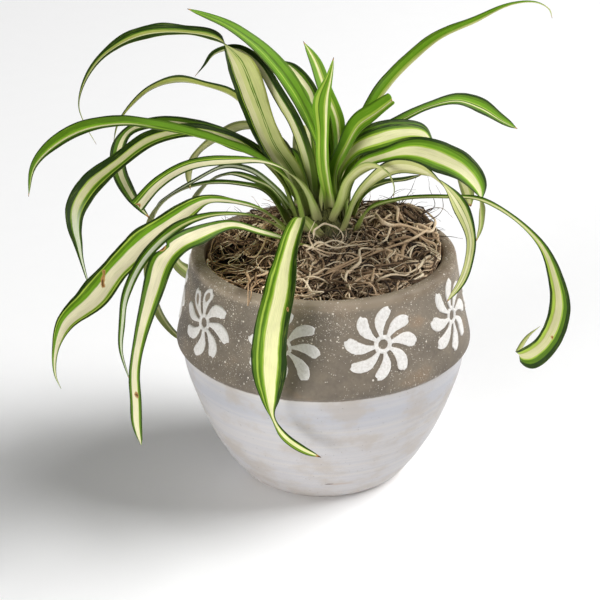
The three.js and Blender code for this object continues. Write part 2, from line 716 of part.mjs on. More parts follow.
// The push on a station is shared with its neighbours, fades to nothing at the root and is eased
// along the leaf, so that the leaf bends evenly
function yieldTo(leaf, pushes) {
  const share = [1, 2, 3, 4, 3, 2, 1];
  const total = 16;
  const moves = pushes.map(({ sum, count }) => sum.clone().divideScalar(Math.max(count, 1)));
  const bends = leaf.centres.map((centre, station) => {
    const move = new THREE.Vector3();
    share.forEach((weight, k) => {
      const near = THREE.MathUtils.clamp(station + k - 3, 0, STATIONS);
      move.addScaledVector(moves[near], weight / total);
    });
    const freedom = THREE.MathUtils.smoothstep(station, 0, ROOT_STATIONS);
    return centre.clone().sub(leaf.route[station]).add(move.multiply(GIVE).multiplyScalar(freedom));
  });
  leaf.centres = leaf.route.map((place, station) => {
    const next = bends[Math.min(station + 1, STATIONS)];
    const before = bends[Math.max(station - 1, 0)];
    const eased = next.clone().add(before).multiplyScalar(0.5);
    return place.clone().add(bends[station].clone().lerp(eased, station > 0 ? EASING : 0));
  });
}

// The blade as a closed body through some of its stations: three points above and three below at
// each, split alike on both faces
function bladeSolid(leaf, stations, thickness, widen = 0) {
  const rings = stations.flatMap((station, i) => {
    const { tangent, face } = leaf.frames[station];
    const lift = face.clone().multiplyScalar(thickness / 2);
    const back = i === 0 ? -widen : 0;
    const under = [-1, 0, 1].map((across) => bladePoint(leaf, station, across, widen).sub(lift));
    const top = [1, 0, -1].map((across) => bladePoint(leaf, station, across, widen).add(lift));
    return [...under, ...top].map((point) => point.addScaledVector(tangent, back));
  });
  return geometryFrom(rings, bladeFaces(stations.length));
}

function bladeFaces(ringCount) {
  const faces = [];
  const sides = 6;
  for (let ring = 0; ring + 1 < ringCount; ring++) {
    for (let k = 0; k < sides; k++) {
      const a = ring * sides + k;
      const b = ring * sides + ((k + 1) % sides);
      const mirrored = k === 3 || k === 4;
      if (mirrored) faces.push([a, b, a + sides], [b, b + sides, a + sides]);
      else faces.push([a, b, b + sides], [a, b + sides, a + sides]);
    }
  }
  const last = (ringCount - 1) * sides;
  for (const [p, q, r] of [[0, 4, 1], [0, 5, 4], [1, 4, 3], [1, 3, 2]]) {
    faces.push([p, q, r], [last + p, last + r, last + q]);
  }
  return faces;
}

function leafLength(leaf) {
  let length = 0;
  for (let i = 1; i < leaf.centres.length; i++) length += leaf.centres[i].distanceTo(leaf.centres[i - 1]);
  return length;
}

function ringStations(leaf) {
  const steps = THREE.MathUtils.clamp(Math.round(leafLength(leaf) / RING_SPACING), 8, 20);
  return Array.from({ length: steps + 1 }, (_, i) => Math.round((i * STATIONS) / steps));
}

// Crown: a short stub that the leaves stand in, each in its own socket
function crown(leaves) {
  const profile = [[0, CROWN_BASE], [CROWN_RADIUS - 1, CROWN_BASE], [CROWN_RADIUS, CROWN_SHOULDER],
    [CROWN_RADIUS - 2, CROWN_SHOULDER + 4.5], [4, CROWN_TOP - 3.4], [0, CROWN_TOP]];
  const geometry = turned(profile, CROWN_SIDES);
  geometry.translate(CROWN_CENTRE.x, CROWN_CENTRE.y, 0);
  let body = toSolid(geometry);
  for (const leaf of leaves) {
    const near = (station) => leaf.centres[station].distanceTo(leaf.centres[0]) < SOCKET_DEPTH;
    const stations = ringStations(leaf);
    const depth = Math.max(stations.findIndex((station) => !near(station)), 1);
    const socket = bladeSolid(leaf, stations.slice(0, depth + 1), BLADE + 2 * SOCKET_GAP, SOCKET_GAP);
    body = body.subtract(toSolid(socket));
  }
  return toGeometry(largestBody(body));
}

// Upright cylinder that reaches well below and above the mat
function column(radius, sides) {
  const low = SOIL_EDGE - 13;
  const high = CROWN_TOP + 30;
  return turned([[0, low], [radius, low], [radius, high], [0, high]], sides);
}

function fibreMat() {
  let body = matCore();
  for (let i = 0; i < STRAND_COUNT; i++) body = body.add(strand());
  const hole = column(CROWN_RADIUS + 2 * GAP, CROWN_SIDES);
  hole.translate(CROWN_CENTRE.x, CROWN_CENTRE.y, 0);
  const bowl = column(RIM_RADIUS - WALL - GAP - 0.2, POT_SIDES);
  return toGeometry(largestBody(body.subtract(toSolid(hole)).intersect(toSolid(bowl))));
}

const plant = new THREE.Group();

function place(name, geometry, finish) {
  geometry.computeVertexNormals();
  const mesh = new THREE.Mesh(geometry, new THREE.MeshStandardMaterial(COLOURS[finish]));
  mesh.name = name;
  plant.add(mesh);
}

const leaves = Object.entries(LEAVES).map(([name, traits]) => growLeaf(name, traits));
bendApart(leaves);
leaves.forEach(setFrames);

place('pot', pot(), 'glaze');
place('potting_soil', pottingSoil(), 'soil');
place('fibre_mat', fibreMat(), 'fibre');
place('crown', crown(leaves), 'crown');
for (const leaf of leaves) place(`leaf_${leaf.name}`, bladeSolid(leaf, ringStations(leaf), BLADE), 'leaf');

export default plant;
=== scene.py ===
"""Potted spider plant: the looks of each piece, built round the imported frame. Blender units are metres."""
import math

import bpy
import numpy as np
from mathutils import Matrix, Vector


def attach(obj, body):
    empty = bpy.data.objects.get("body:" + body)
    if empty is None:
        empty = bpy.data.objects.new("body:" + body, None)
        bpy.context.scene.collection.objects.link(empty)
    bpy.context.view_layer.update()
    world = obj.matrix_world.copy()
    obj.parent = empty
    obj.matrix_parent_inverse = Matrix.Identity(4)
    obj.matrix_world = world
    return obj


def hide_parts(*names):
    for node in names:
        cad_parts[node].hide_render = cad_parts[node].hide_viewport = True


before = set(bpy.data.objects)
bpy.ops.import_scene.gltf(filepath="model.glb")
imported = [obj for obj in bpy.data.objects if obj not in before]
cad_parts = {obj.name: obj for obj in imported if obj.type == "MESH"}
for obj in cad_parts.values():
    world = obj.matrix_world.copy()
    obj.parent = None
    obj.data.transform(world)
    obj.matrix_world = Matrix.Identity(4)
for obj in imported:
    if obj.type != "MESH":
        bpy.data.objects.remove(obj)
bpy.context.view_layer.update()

MM = 0.001
BODY = "root"

# Camera: looks along +Y and down at the plant
CAMERA_ELEVATION = 25.7
CAMERA_DISTANCE = 1.0
CAMERA_LENS = 116.6
CAMERA_TARGET = Vector((0.0, 0.0, 0.067))
CAMERA_SHIFT = (-0.0388, 0.0767)
CAMERA_REACH = 20.0
SENSOR = 36.0

# Light: a broad key high on the right, a low broad fill in front, and a dim white room
KEY_PLACE = (2.95, 0.35, 2.7)
KEY_POWER = 214.0
KEY_SIZE = 3.0
FRONT_PLACE = (-2.3, -3.2, 0.7)
FRONT_POWER = 130.0
FRONT_SIZE = 2.0
LIGHT_TARGET = Vector((0.0, 0.0, 0.09))
WORLD_LIGHT = 0.12
FLOOR_REACH = 6000.0

# Pot: heights and radii in millimetres
POT_HEIGHT = 120.7
BASE_RADIUS = 39.0
SHOULDER_RADIUS = 75.0
SHOULDER_HEIGHT = 76.0
BAND_LOW = 73.0
RIM_RADIUS = 66.6
WALL = 7.0
FLOOR = 9.0
POT_SIDES = 240
CURVE_STEPS = 4
LIP_ROWS = 5
POT_OUTSIDE = [
    (0, 0), (BASE_RADIUS - 2.5, 0), (BASE_RADIUS - 0.3, 0.2), (BASE_RADIUS + 1.9, 1.6), (43.4, 3.5),
    (45.5, 6), (48, 9.5), (51.3, 14), (54.2, 19), (57.6, 25), (60.8, 32), (63.6, 39), (66.1, 46), (68.4, 53),
    (70.2, 59), (71.6, 66), (72.1, BAND_LOW - 2), (72.5, BAND_LOW - 0.6), (73.9, BAND_LOW + 0.5),
    (74.8, BAND_LOW + 1.6), (SHOULDER_RADIUS, SHOULDER_HEIGHT),
    (SHOULDER_RADIUS - 0.4, SHOULDER_HEIGHT + 2.5), (72.1, 89), (69.5, 103), (RIM_RADIUS + 0.6, 115.5),
    (RIM_RADIUS + 0.3, 118), (RIM_RADIUS - 0.4, 119.7), (RIM_RADIUS - 2, POT_HEIGHT),
]
POT_INSIDE = [
    (RIM_RADIUS - WALL + 2.2, POT_HEIGHT), (RIM_RADIUS - WALL + 0.6, 119.8), (RIM_RADIUS - WALL, 118),
    (RIM_RADIUS - WALL + 0.4, 114), (66.8, 83), (66.2, 69), (60.5, 50), (52.5, 30), (38, FLOOR), (0, FLOOR),
]

# Raised flowers round the band; two petals of one flower are hollow
FLOWER_COUNT = 9
FLOWER_START = -66.0
FLOWER_HEIGHT = 98.8
FLOWER_SQUASH = 0.94
PETAL_COUNT = 8
PETAL_REACH = 18.8
PETAL_WIDTH = 7.1
PETAL_LEAN = 0.35
PETAL_ROWS = 26
PETAL_COLUMNS = 13
HUB_OUTSIDE = 4.9
HUB_INSIDE = 2.4
HUB_SIDES = 48
RELIEF = 0.6
RELIEF_ROOT = 0.6
HOLLOW_FLOWER = 7
HOLLOW_PETALS = (5, 6)

# Growing mix, crown and mat of dry roots
GAP = 0.35
SOIL_EDGE = 110.0
SOIL_TOP = 112.0
SOIL_RADIUS = 60.2
SOIL_WALL = [
    (SOIL_RADIUS, SOIL_EDGE - 3), (66.2, 83), (65.6, 69), (59.9, 50), (51.9, 30), (37.4, FLOOR + GAP),
]
CROWN_X, CROWN_Y = 0.0, 5.0
CROWN_RADIUS = 19.0
CROWN_SIDES = 96
CROWN_OUTSIDE = [
    (0, 112.5), (CROWN_RADIUS - 2, 112.5), (CROWN_RADIUS - 1, 119), (CROWN_RADIUS - 2, 125),
    (CROWN_RADIUS - 5, 131), (CROWN_RADIUS - 9, 137), (5, 142), (0, 144),
]
MAT_RADIUS = 57.5
MAT_LOW = 117.0
MAT_SLOPE = 3.2

# Heaps of the mat: x and y of the top, spread along x and y, height
MAT_HEAPS = [(34, 26, 25, 23, 11), (-22, 26, 24, 22, 9), (0, 3, 26, 22, 9)]

# Dry roots in groups: how many, how thick, the middle and spread of their starts, shortest and longest,
# share that runs round the middle, height of the arcs, least and greatest radius, share of pale ones,
# and the least tone
ROOT_GROUPS = [
    (300, "fine", (24, 4), 36, (24, 80), 0.5, 4.6, (0.26, 0.45), 0.35, 0.0),
    (420, "fine", (-4, 0), 57, (18, 60), 0.1, 3.6, (0.22, 0.44), 0.5, 0.12),
    (480, "stout", (12, 2), 46, (24, 80), 0.4, 4.8, (0.42, 0.72), 0.42, 0.0),
    (110, "stout", (22, 4), 38, (30, 90), 0.6, 5.6, (0.65, 1.0), 0.7, 0.0),
    (240, "fine", (0, 4), 25, (14, 40), 0.7, 8.0, (0.22, 0.5), 0.45, 0.0),
]
ROOT_STRIDE = 2.6
WHISKERS = 110
WHISKER_STEPS = 9
WHISKER_STRIDE = 1.7
COLLAR_FIBRES = 200
COLLAR_STEPS = 10

# Loose roots that lie on top: radius, tone, then places along each in millimetres
LOOSE_ROOTS = [
    (1.0, 0.82, [(27, 16, 134), (31, 7, 132), (41, 9, 130), (54, 8, 127), (57, 14, 129), (54, 26, 130),
                 (45, 24, 135), (38, 24, 135)]),
    (0.85, 0.75, [(55, 12, 128), (45, -1, 127), (37, -6, 126), (24, -14, 124), (11, -24, 122),
                  (-1, -33, 121), (-11, -37, 119)]),
    (1.0, 0.62, [(1, -30, 121), (14, -21, 124), (27, -11, 126)]),
    (0.55, 1.0, [(-5, -15, 133), (-4, -14, 137), (1, -13, 140), (7, -14, 138), (10, -15, 134), (7, -17, 130),
                 (1, -18, 129), (-5, -16, 130)]),
    (0.7, 1.0, [(-8, -18, 128), (-2, -17, 132), (6, -18, 129), (14, -16, 130), (22, -12, 129)]),
    (0.5, 0.9, [(-12, -14, 130), (-3, -19, 129), (8, -20, 127), (16, -18, 127)]),
    (0.6, 0.95, [(-6, -14, 126), (-1, -19, 131), (5, -20, 134), (12, -17, 131), (13, -12, 128)]),
    (0.5, 0.85, [(3, -17, 124), (-4, -19, 129), (-7, -17, 136), (-4, -14, 142)]),
    (0.5, 0.8, [(10, -12, 126), (15, -15, 131), (22, -15, 132), (27, -9, 129)]),
    (0.5, 0.7, [(-31, 21, 128), (-29, 2, 125), (-34, -9, 121), (-39, -5, 120), (-36, 4, 121)]),
    (0.45, 0.55, [(-40, 21, 126), (-52, 22, 121), (-57, 3, 119), (-53, -15, 119), (-44, -22, 119)]),
    (0.7, 0.55, [(-38, -24, 119), (-36, -42, 122), (-36, -54, 123), (-36, -58, 116)]),
    (0.6, 0.45, [(-33, -25, 119), (-33, -42, 121), (-34, -55, 123), (-35, -59, 118)]),
    (0.25, 0.1, [(48, 20, 131), (57, 24, 135), (54, 24, 145), (53, 25, 151)]),
    (0.25, 0.3, [(52, 14, 130), (60, 18, 134), (60, 20, 141), (57, 22, 147)]),
    (0.3, 0.2, [(52, 8, 127), (60, 10, 124), (71, 9, 123)]),
    (0.25, 0.2, [(40, 38, 131), (45, 42, 136), (48, 42, 144)]),
    (0.25, 0.3, [(34, 40, 131), (38, 42, 136), (48, 42, 137)]),
    (0.25, 0.4, [(50, 28, 130), (60, 26, 133), (66, 18, 131)]),
]
LOOSE_STEPS = 7

# Leaves: the routes are the frame's own, and so is the way that blades give way to each other
CHANNEL = 0.3
STATIONS = 40
CLEARANCE = 2.4
PASSES = 220
ROOT_STATIONS = 5
EASING = 0.25
GIVE = np.array((0.45, 1.0, 0.45))
ACROSS = np.array((-1, -0.67, -0.33, 0, 0.33, 0.67, 1))
LEAST_WIDTH = 0.9
BLADE = 0.5
RING_STEP = 1.5
COLUMNS = 15
SHEATH = 6.0
TIP_LENGTH = 5.0
EDGE_WAVE = 0.10
RAGGED_LENGTH = 4.0

# Each leaf: the compass way that its blade faces outwards, then its route from root to tip as x, y, z,
# blade width and, where needed, the turn of the blade in degrees
LEAVES = {
    "left_bright_upright": (188, [
        (-2, 1, 142, 4), (0, 1, 166, 9, -20), (-5, 0, 185, 13, -35), (-12, -1, 201, 12, -40),
        (-20, -2, 214, 12, -40), (-30, -3, 226, 9.5, -40), (-45, -5, 238, 6, -35), (-64, -8, 247, 2, -30),
    ]),
    "left_far_arch": (196, [
        (-7, 3, 137, 4, 40), (-16, 4, 157, 13, 60), (-26, 3, 174, 14, 60), (-33, -1, 194, 14.5, 60),
        (-38, -5, 212, 17, 50), (-42, -7, 223, 15, 35), (-49, -10, 233, 12, -10),
        (-67, -14, 238, 11.5, -12), (-86, -20, 238, 11, -15), (-103, -24, 229, 5.5, -20),
        (-112, -27, 217, 2.8, -20), (-115, -28, 206, 2.2), (-113, -27, 197, 1.8), (-108, -26, 186, 1),
    ]),
    "left_inner_arch": (184, [
        (-4, 5, 142, 4, 60), (-7, 4, 164, 7, 70), (-14, 4, 186, 7.5, 70), (-23, 3, 203, 7, 70),
        (-32, 3, 218, 6.5, 60), (-42, 2, 225, 5.5, 50), (-52, 1, 223, 5.5, 40), (-57, 1, 217, 4, 20),
        (-62, 1, 211, 1.5),
    ]),
    "left_olive_arch": (172, [
        (-8, 6, 137, 4, 40), (-23, 8, 171, 8, 45), (-34, 10, 188, 8, 50), (-45, 11, 199, 8, 50),
        (-58, 13, 203, 5.5, 50), (-71, 15, 205, 6.5, 50), (-85, 17, 200, 4, 50), (-95, 18, 191, 3.2, 40),
        (-102, 19, 181, 2.4, 20), (-105, 20, 171, 1.5),
    ]),
    "left_long_arch": (202, [
        (-9, -4, 132, 4), (-15, -1, 157, 9, -5), (-28, -7, 171, 10, -10), (-43, -12, 180, 11, -15),
        (-59, -19, 188, 11, -15), (-77, -26, 195, 11, -15), (-95, -34, 200, 11, -15),
        (-113, -41, 199, 10, -20), (-127, -46, 192, 8, -25), (-135, -49, 183, 4.5, -25),
        (-138, -51, 169, 1, -20),
    ]),
    "left_folded": (192, [
        (-12, 1, 132, 4), (-18, 0, 155, 8, -15), (-31, -3, 172, 9, -20), (-46, -5, 181, 10.5, -25),
        (-65, -9, 186, 9.5, -25), (-84, -13, 183, 12.5, -25), (-99, -16, 173, 11, -30),
        (-113, -19, 162, 14, -35), (-120, -21, 151, 13, -42), (-121, -22, 142, 8.5, -55),
        (-120, -22, 134, 5.5, -60), (-119, -22, 126, 3, -60), (-116, -22, 111, 1, -50),
    ]),
    "left_behind": (178, [
        (-12, 9, 132, 4), (-27, 11, 165, 7), (-48, 9, 179, 9.5, -5), (-65, 7, 184, 10, -10),
        (-80, 8, 185, 10, -10), (-95, 8, 181, 7, -25), (-101, 9, 171, 10, -45), (-101, 9, 159, 11, -60),
        (-96, 8, 147, 8.5, -60), (-87, 8, 134, 1.5, -50),
    ]),
    "left_broken": (205, [
        (-3, -3, 137, 4, 40), (-9, 0, 152, 5, 30), (-18, -4, 165, 5), (-31, -10, 174, 4, -15),
        (-47, -17, 176, 7, -20), (-65, -25, 175, 7, -25), (-79, -31, 168, 8, -25),
        (-89, -36, 158, 10.5, -25),
    ]),
    "left_low_thin": (166, [
        (-11, 15, 131, 4), (-24, 16, 146, 6), (-37, 16, 157, 6), (-49, 17, 159, 5), (-65, 21, 150, 4),
        (-79, 25, 140, 3), (-85, 27, 134, 2.5), (-88, 28, 124, 1.5),
    ]),
    "left_low_dark": (158, [
        (-16, 10, 127, 4), (-28, 16, 146, 6), (-42, 22, 148, 6), (-58, 28, 146, 7), (-74, 35, 139, 8),
        (-85, 39, 129, 9), (-91, 42, 115, 9), (-92, 42, 100, 9), (-91, 42, 83, 9), (-87, 40, 67, 8),
        (-78, 36, 56, 5), (-67, 33, 52, 1.5),
    ]),
    "left_wavy_low": (145, [
        (-13, 15, 127, 4), (-25, 22, 144, 6), (-35, 29, 147, 7), (-47, 38, 147, 7), (-58, 45, 141, 8),
        (-66, 51, 130, 8), (-73, 56, 114, 8), (-78, 60, 99, 8), (-79, 60, 89, 8), (-72, 56, 84, 8, 35),
        (-64, 52, 79, 1.5, 40),
    ]),
    "left_pale_hanging": (165, [
        (-6, 11, 137, 4, 10), (-13, 9, 160, 7, 30), (-19, 10, 173, 8, 40), (-29, 13, 179, 8, 50),
        (-41, 16, 180, 8, 50), (-53, 19, 173, 8, 40), (-64, 22, 163, 6, 30), (-68, 23, 153, 5.5, 20),
        (-68, 23, 143, 1.5, 20),
    ]),
    "front_left_large": (217, [
        (-14, -3, 127, 4), (-27, -15, 146, 8, -5), (-40, -25, 155, 9, -5), (-55, -36, 160, 10.5, -5),
        (-67, -46, 156, 15, -10), (-82, -57, 148, 18, -15), (-96, -67, 138, 17, -15),
        (-107, -77, 127, 18.5, -15), (-119, -85, 119, 12, -10), (-124, -89, 107, 5.5),
        (-125, -89, 95, 2.5), (-123, -88, 87, 1.2),
    ]),
    "front_left_notched": (232, [
        (-7, -10, 127, 4), (-30, -33, 144, 4, -50), (-44, -51, 155, 5, -60), (-58, -69, 157, 10, -50),
        (-67, -82, 157, 12, -20), (-73, -89, 152, 13.5, -10), (-77, -95, 141, 11, -10),
        (-83, -101, 121, 7, -10), (-86, -105, 105, 6.5, -5), (-86, -106, 90, 7.5), (-86, -106, 77, 6.5),
        (-85, -103, 65, 1.5),
    ]),
    "front_left_narrow": (222, [
        (-10, -7, 128, 4), (-30, -22, 147, 6), (-42, -33, 154, 6.5), (-56, -45, 158, 7),
        (-68, -56, 157, 8), (-80, -67, 150, 8), (-87, -74, 142, 7), (-92, -78, 131, 6.5),
        (-94, -79, 118, 5.3), (-95, -79, 103, 3.5), (-92, -78, 87, 1.5),
    ]),
    "upright_back_left": (134, [
        (0, 13, 138, 4), (8, 17, 160, 8), (8, 18, 181, 8.5), (1, 21, 198, 8.5), (-4, 27, 210, 7.5),
        (-10, 33, 219, 1),
    ]),
    "upright_folded": (110, [
        (3, 2, 142, 4), (-1, 0, 166, 6.5), (-1, 0, 184, 7), (-1, 0, 199, 9.5), (3, 0, 212, 3.5),
        (5, 0, 221, 1),
    ]),
    "upright_back": (80, [
        (1, 15, 135, 4), (6, 21, 159, 5.5), (5, 22, 174, 5.5), (3, 22, 187, 4.5), (3, 22, 196, 1.5),
    ]),
    "upright_wavy": (172, [
        (-4, 8, 142, 4), (-1, 9, 165, 7, -25), (-4, 10, 183, 7.5, -45), (-6, 10, 199, 8.5, -45),
        (-14, 11, 210, 7.5, -45), (-21, 12, 216, 1.5, -40),
    ]),
    "right_long_arch": (18, [
        (3, 10, 140, 4), (10, 15, 164, 7, 10), (21, 17, 183, 8.5, 25), (30, 15, 200, 8, 25),
        (43, 19, 214, 7.5, 25), (57, 24, 224, 7.5, 10), (75, 29, 231, 5.5, 10), (92, 35, 237, 4),
        (105, 39, 237, 3), (112, 41, 233, 2), (114, 42, 228, 1),
    ]),
    "right_blunt": (5, [
        (8, 3, 137, 4, 20), (6, 6, 161, 11, 20), (11, 6, 174, 13.5, 20), (17, 6, 185, 14.5, 20),
        (25, 7, 191, 14, 20), (34, 8, 198, 11, 20),
    ]),
    "right_back_arch": (28, [
        (5, 13, 136, 4, 10), (15, 14, 161, 6, 10), (26, 19, 175, 5.5, 20), (40, 26, 181, 5, 30),
        (54, 34, 185, 4.5, 40), (68, 41, 186, 6.5, 50), (81, 48, 180, 8.5, 60), (92, 54, 171, 6, 55),
        (101, 59, 164, 1.5, 50),
    ]),
    "right_wide_dark": (20, [
        (9, 8, 137, 4, 20), (7, 7, 159, 6.5, 20), (15, 11, 173, 13, 25), (27, 15, 178, 16, 30),
        (41, 20, 178, 13, 30), (51, 24, 174, 12, 28), (57, 28, 164, 8, 10), (71, 31, 146, 11, -20),
        (76, 33, 131, 4, -60),
    ]),
    "right_large": (351, [
        (12, 3, 133, 4, 10), (11, 0, 154, 8, 20), (17, -2, 166, 9.5, 20), (30, -3, 172, 9, 30),
        (43, -2, 174, 16, 35), (57, -4, 171, 20, 35), (69, -6, 165, 18, 30), (77, -7, 155, 14.5, 15),
        (78, -7, 144, 6, -30), (78, -7, 136, 3, -50), (76, -7, 128, 1.5, -50),
    ]),
    "right_hooked": (322, [
        (5, -2, 137, 4, -10), (10, -1, 149, 6, -30), (13, -5, 161, 5.5, -40), (22, -12, 170, 6.5, -40),
        (30, -18, 170, 4.5, -20), (34, -22, 164, 2.5, -20), (34, -22, 157, 1.2),
    ]),
    "right_inner_droop": (335, [
        (10, -3, 132, 4), (16, -5, 150, 6, -20), (24, -8, 161, 7.5, -50), (35, -12, 169, 10.5, -60),
        (47, -18, 170, 10.5, -55), (57, -25, 166, 7, -20), (66, -32, 156, 8.5, 45), (71, -38, 143, 5.5, 70),
        (70, -42, 132, 4.5, 70), (67, -42, 122, 4, 60), (60, -40, 110, 1.2, 50),
    ]),
    "right_low_dark": (36, [
        (13, 16, 127, 4), (21, 20, 144, 6), (31, 28, 146, 7), (42, 35, 145, 6), (51, 42, 145, 2),
    ]),
    "right_trailing": (341, [
        (16, 6, 127, 4), (23, -3, 144, 5), (38, -8, 151, 4.5), (57, -15, 155, 4), (76, -21, 156, 3.5, 10),
        (92, -27, 149, 2.5, 30), (106, -31, 136, 4, 55), (113, -34, 121, 8, 75),
        (116, -35, 106, 11, 80), (114, -35, 93, 11.5, 80), (109, -33, 82, 12, 80),
        (102, -30, 75, 12.5, 80), (98, -25, 74, 8, 70), (102, -22, 82, 4.5, 60), (108, -25, 90, 1.2, 60),
    ]),
    "front_drape": (262, [
        (-2, -8, 131, 4), (-10, -18, 145, 5), (-13, -38, 149, 9), (-17, -60, 144, 11.5),
        (-20, -79, 133, 16), (-24, -88, 115, 18), (-25, -88, 98, 18), (-25, -86, 82, 10, -10),
        (-24, -84, 70, 2.5, -60), (-19, -82, 59, 4, -50), (-10, -81, 51, 4, -40), (-1, -82, 47, 1.5, -30),
    ]),
    "back_drape_left": (98, [
        (-3, 17, 132, 4), (-5, 26, 154, 8), (-7, 42, 167, 10), (-9, 62, 165, 11), (-11, 79, 149, 11),
        (-12, 88, 125, 9), (-12, 92, 99, 7), (-11, 94, 79, 1.5),
    ]),
    "back_drape_right": (84, [
        (3, 17, 132, 4), (4, 28, 153, 8), (7, 48, 163, 10), (9, 70, 157, 11), (11, 84, 137, 9),
        (12, 90, 111, 6), (13, 92, 91, 1.5),
    ]),
    "back_right_low": (58, [
        (8, 15, 132, 4), (12, 26, 148, 8), (23, 44, 154, 9), (32, 58, 150, 7), (38, 68, 142, 4.5),
        (41, 75, 133, 1.5),
    ]),
    "back_left_drape": (107, [
        (-8, 16, 131, 4), (-12, 26, 148, 8), (-17, 42, 156, 10), (-23, 58, 153, 8.5), (-27, 69, 146, 5),
        (-29, 76, 138, 1.5),
    ]),
}

# Colours of the stripes, from 0 to 255
TONES = {
    "dark": (30, 52, 4), "green": (77, 112, 16), "bright": (100, 144, 26), "lime": (158, 183, 68),
    "cream": (212, 209, 162), "sand": (200, 196, 148), "ivory": (220, 213, 176), "butter": (232, 230, 172),
    "olive": (154, 161, 80), "pale": (188, 191, 124), "grey": (194, 200, 172),
}

# Stripes across each blade from its right edge to its left, seen along the growth with the upper face up
PLAIN = "dark 14, green 16, lime 4, green 12, cream 18, olive 3, green 14, lime 3, dark 16"
STRIPES = {
    "left_bright_upright": "green 12, bright 22, green 10, bright 12, lime 5, bright 18, green 16, dark 5",
    "left_far_arch": "dark 30, green 6, olive 16, cream 9, green 5, dark 34",
    "left_inner_arch": "dark 9, pale 14, cream 32, green 8, dark 37",
    "left_olive_arch": "dark 10, pale 34, olive 36, dark 20",
    "left_long_arch": "green 14, bright 34, green 14, bright 14, lime 9, green 12, dark 6",
    "left_folded": "dark 28, lime 4, sand 26, lime 4, green 14, lime 4, dark 20",
    "left_behind": "dark 14, green 18, cream 30, green 16, dark 22",
    "left_broken": "dark 8, green 14, lime 5, green 9, ivory 48, green 6, dark 10",
    "left_low_thin": "dark 30, grey 36, dark 34",
    "left_low_dark": "dark 26, green 18, cream 20, green 14, dark 22",
    "left_wavy_low": "dark 24, green 14, cream 24, green 14, dark 24",
    "left_pale_hanging": "dark 18, pale 20, cream 34, pale 14, dark 14",
    "front_left_large": "dark 9, lime 3, green 7, bright 11, ivory 43, lime 4, green 4, lime 6, dark 9",
    "front_left_notched": "dark 8, green 14, ivory 44, lime 6, green 18, dark 10",
    "front_left_narrow": "dark 18, green 20, pale 22, green 20, dark 18",
    "front_drape": "dark 4, green 9, lime 5, green 6, bright 4, lime 5, butter 38, lime 4, green 8, dark 17",
    "upright_back_left": "bright 28, lime 12, butter 16, lime 6, bright 32, green 6",
    "upright_folded": "bright 16, butter 12, lime 8, bright 22, green 8, lime 18, bright 16",
    "upright_back": "bright 32, lime 20, bright 32, dark 16",
    "upright_wavy": "dark 22, green 14, cream 32, bright 32",
    "right_long_arch": "pale 20, lime 16, bright 40, green 18, dark 6",
    "right_blunt": "green 8, bright 22, lime 13, cream 7, lime 12, bright 30, green 8",
    "right_back_arch": "dark 12, green 14, lime 4, cream 6, green 10, lime 5, bright 21, green 14, dark 14",
    "right_wide_dark": "dark 8, green 12, lime 8, cream 33, lime 6, green 8, dark 8, green 6, dark 11",
    "right_large": "dark 11, green 10, bright 9, lime 5, cream 33, lime 4, bright 10, green 8, dark 10",
    "right_hooked": "green 10, pale 20, cream 26, pale 20, dark 24",
    "right_inner_droop": "dark 6, pale 20, green 3, cream 24, green 3, pale 22, green 8, dark 14",
    "right_low_dark": "dark 45, pale 15, dark 40",
    "right_trailing": "dark 13, lime 11, olive 4, sand 31, lime 6, green 17, dark 18",
}
UNDERSIDES = {
    "left_far_arch": "dark 18, lime 2, dark 3, sand 24, pale 16, green 2, pale 3, green 3, pale 24, olive 5",
    "left_inner_arch": "dark 9, pale 14, cream 34, green 7, dark 36",
    "left_olive_arch": "dark 8, pale 40, olive 36, dark 16",
    "right_inner_droop": "dark 8, pale 20, cream 34, pale 26, green 4, dark 8",
}

# Where the stripes change along a blade: the share of its length, and the stripes beyond it
OUTER_STRIPES = {
    "left_long_arch": (0.6, "dark 8, green 32, bright 10, lime 8, cream 14, green 12, dark 16"),
    "left_folded": (0.8, "dark 26, green 8, grey 42, green 6, dark 18"),
    "front_left_narrow": (0.55, "dark 22, green 14, grey 40, green 12, dark 12"),
}

# Dry or torn places: share of the length, place across from -1 to 1, size in millimetres
DRY_TIP = [(1.0, 0.0, 1.6)]
BLEMISHES = {
    "front_left_large": [(0.655, -0.62, 0.9), (0.665, -0.45, 1.1), (0.675, -0.28, 1.2), (0.685, -0.1, 1.0)],
    "front_left_notched": [(0.52, -0.95, 1.8), (0.86, 0.1, 1.6)],
    "left_broken": [(1.0, 0.0, 1.8)],
    "front_drape": [(1.0, 0.0, 2.6), (0.5, 0.7, 0.7)],
    "right_trailing": [(0.79, 0.1, 0.8)],
    "right_blunt": [(1.0, 0.0, 0.9)],
    "left_low_dark": [(1.0, 0.0, 3.0)],
    "left_behind": [(1.0, 0.0, 3.0)],
    "back_drape_left": [(1.0, 0.0, 3.5)],
    "back_right_low": [(1.0, 0.0, 2.5)],
}

# Notches torn out of an edge: share of the length, edge, length in millimetres, share of the width
NOTCHES = {"front_left_notched": (0.52, -1, 8.0, 0.3)}
CUT_ENDS = ("left_broken", "right_blunt")

# Colours of dry roots, from the darkest tone to the palest
ROOT_TONES = [
    (0.0, (32, 23, 17)), (0.25, (70, 53, 39)), (0.5, (132, 107, 81)), (0.75, (188, 161, 130)),
    (1.0, (228, 212, 184)),
]


def srgb(red, green, blue):
    """Colour from 0 to 255 as the linear colour that shaders take."""
    linear = []
    for value in (red, green, blue):
        part = value / 255
        linear.append(part / 12.92 if part <= 0.04045 else ((part + 0.055) / 1.055) ** 2.4)
    return (*linear, 1.0)


# Meshes


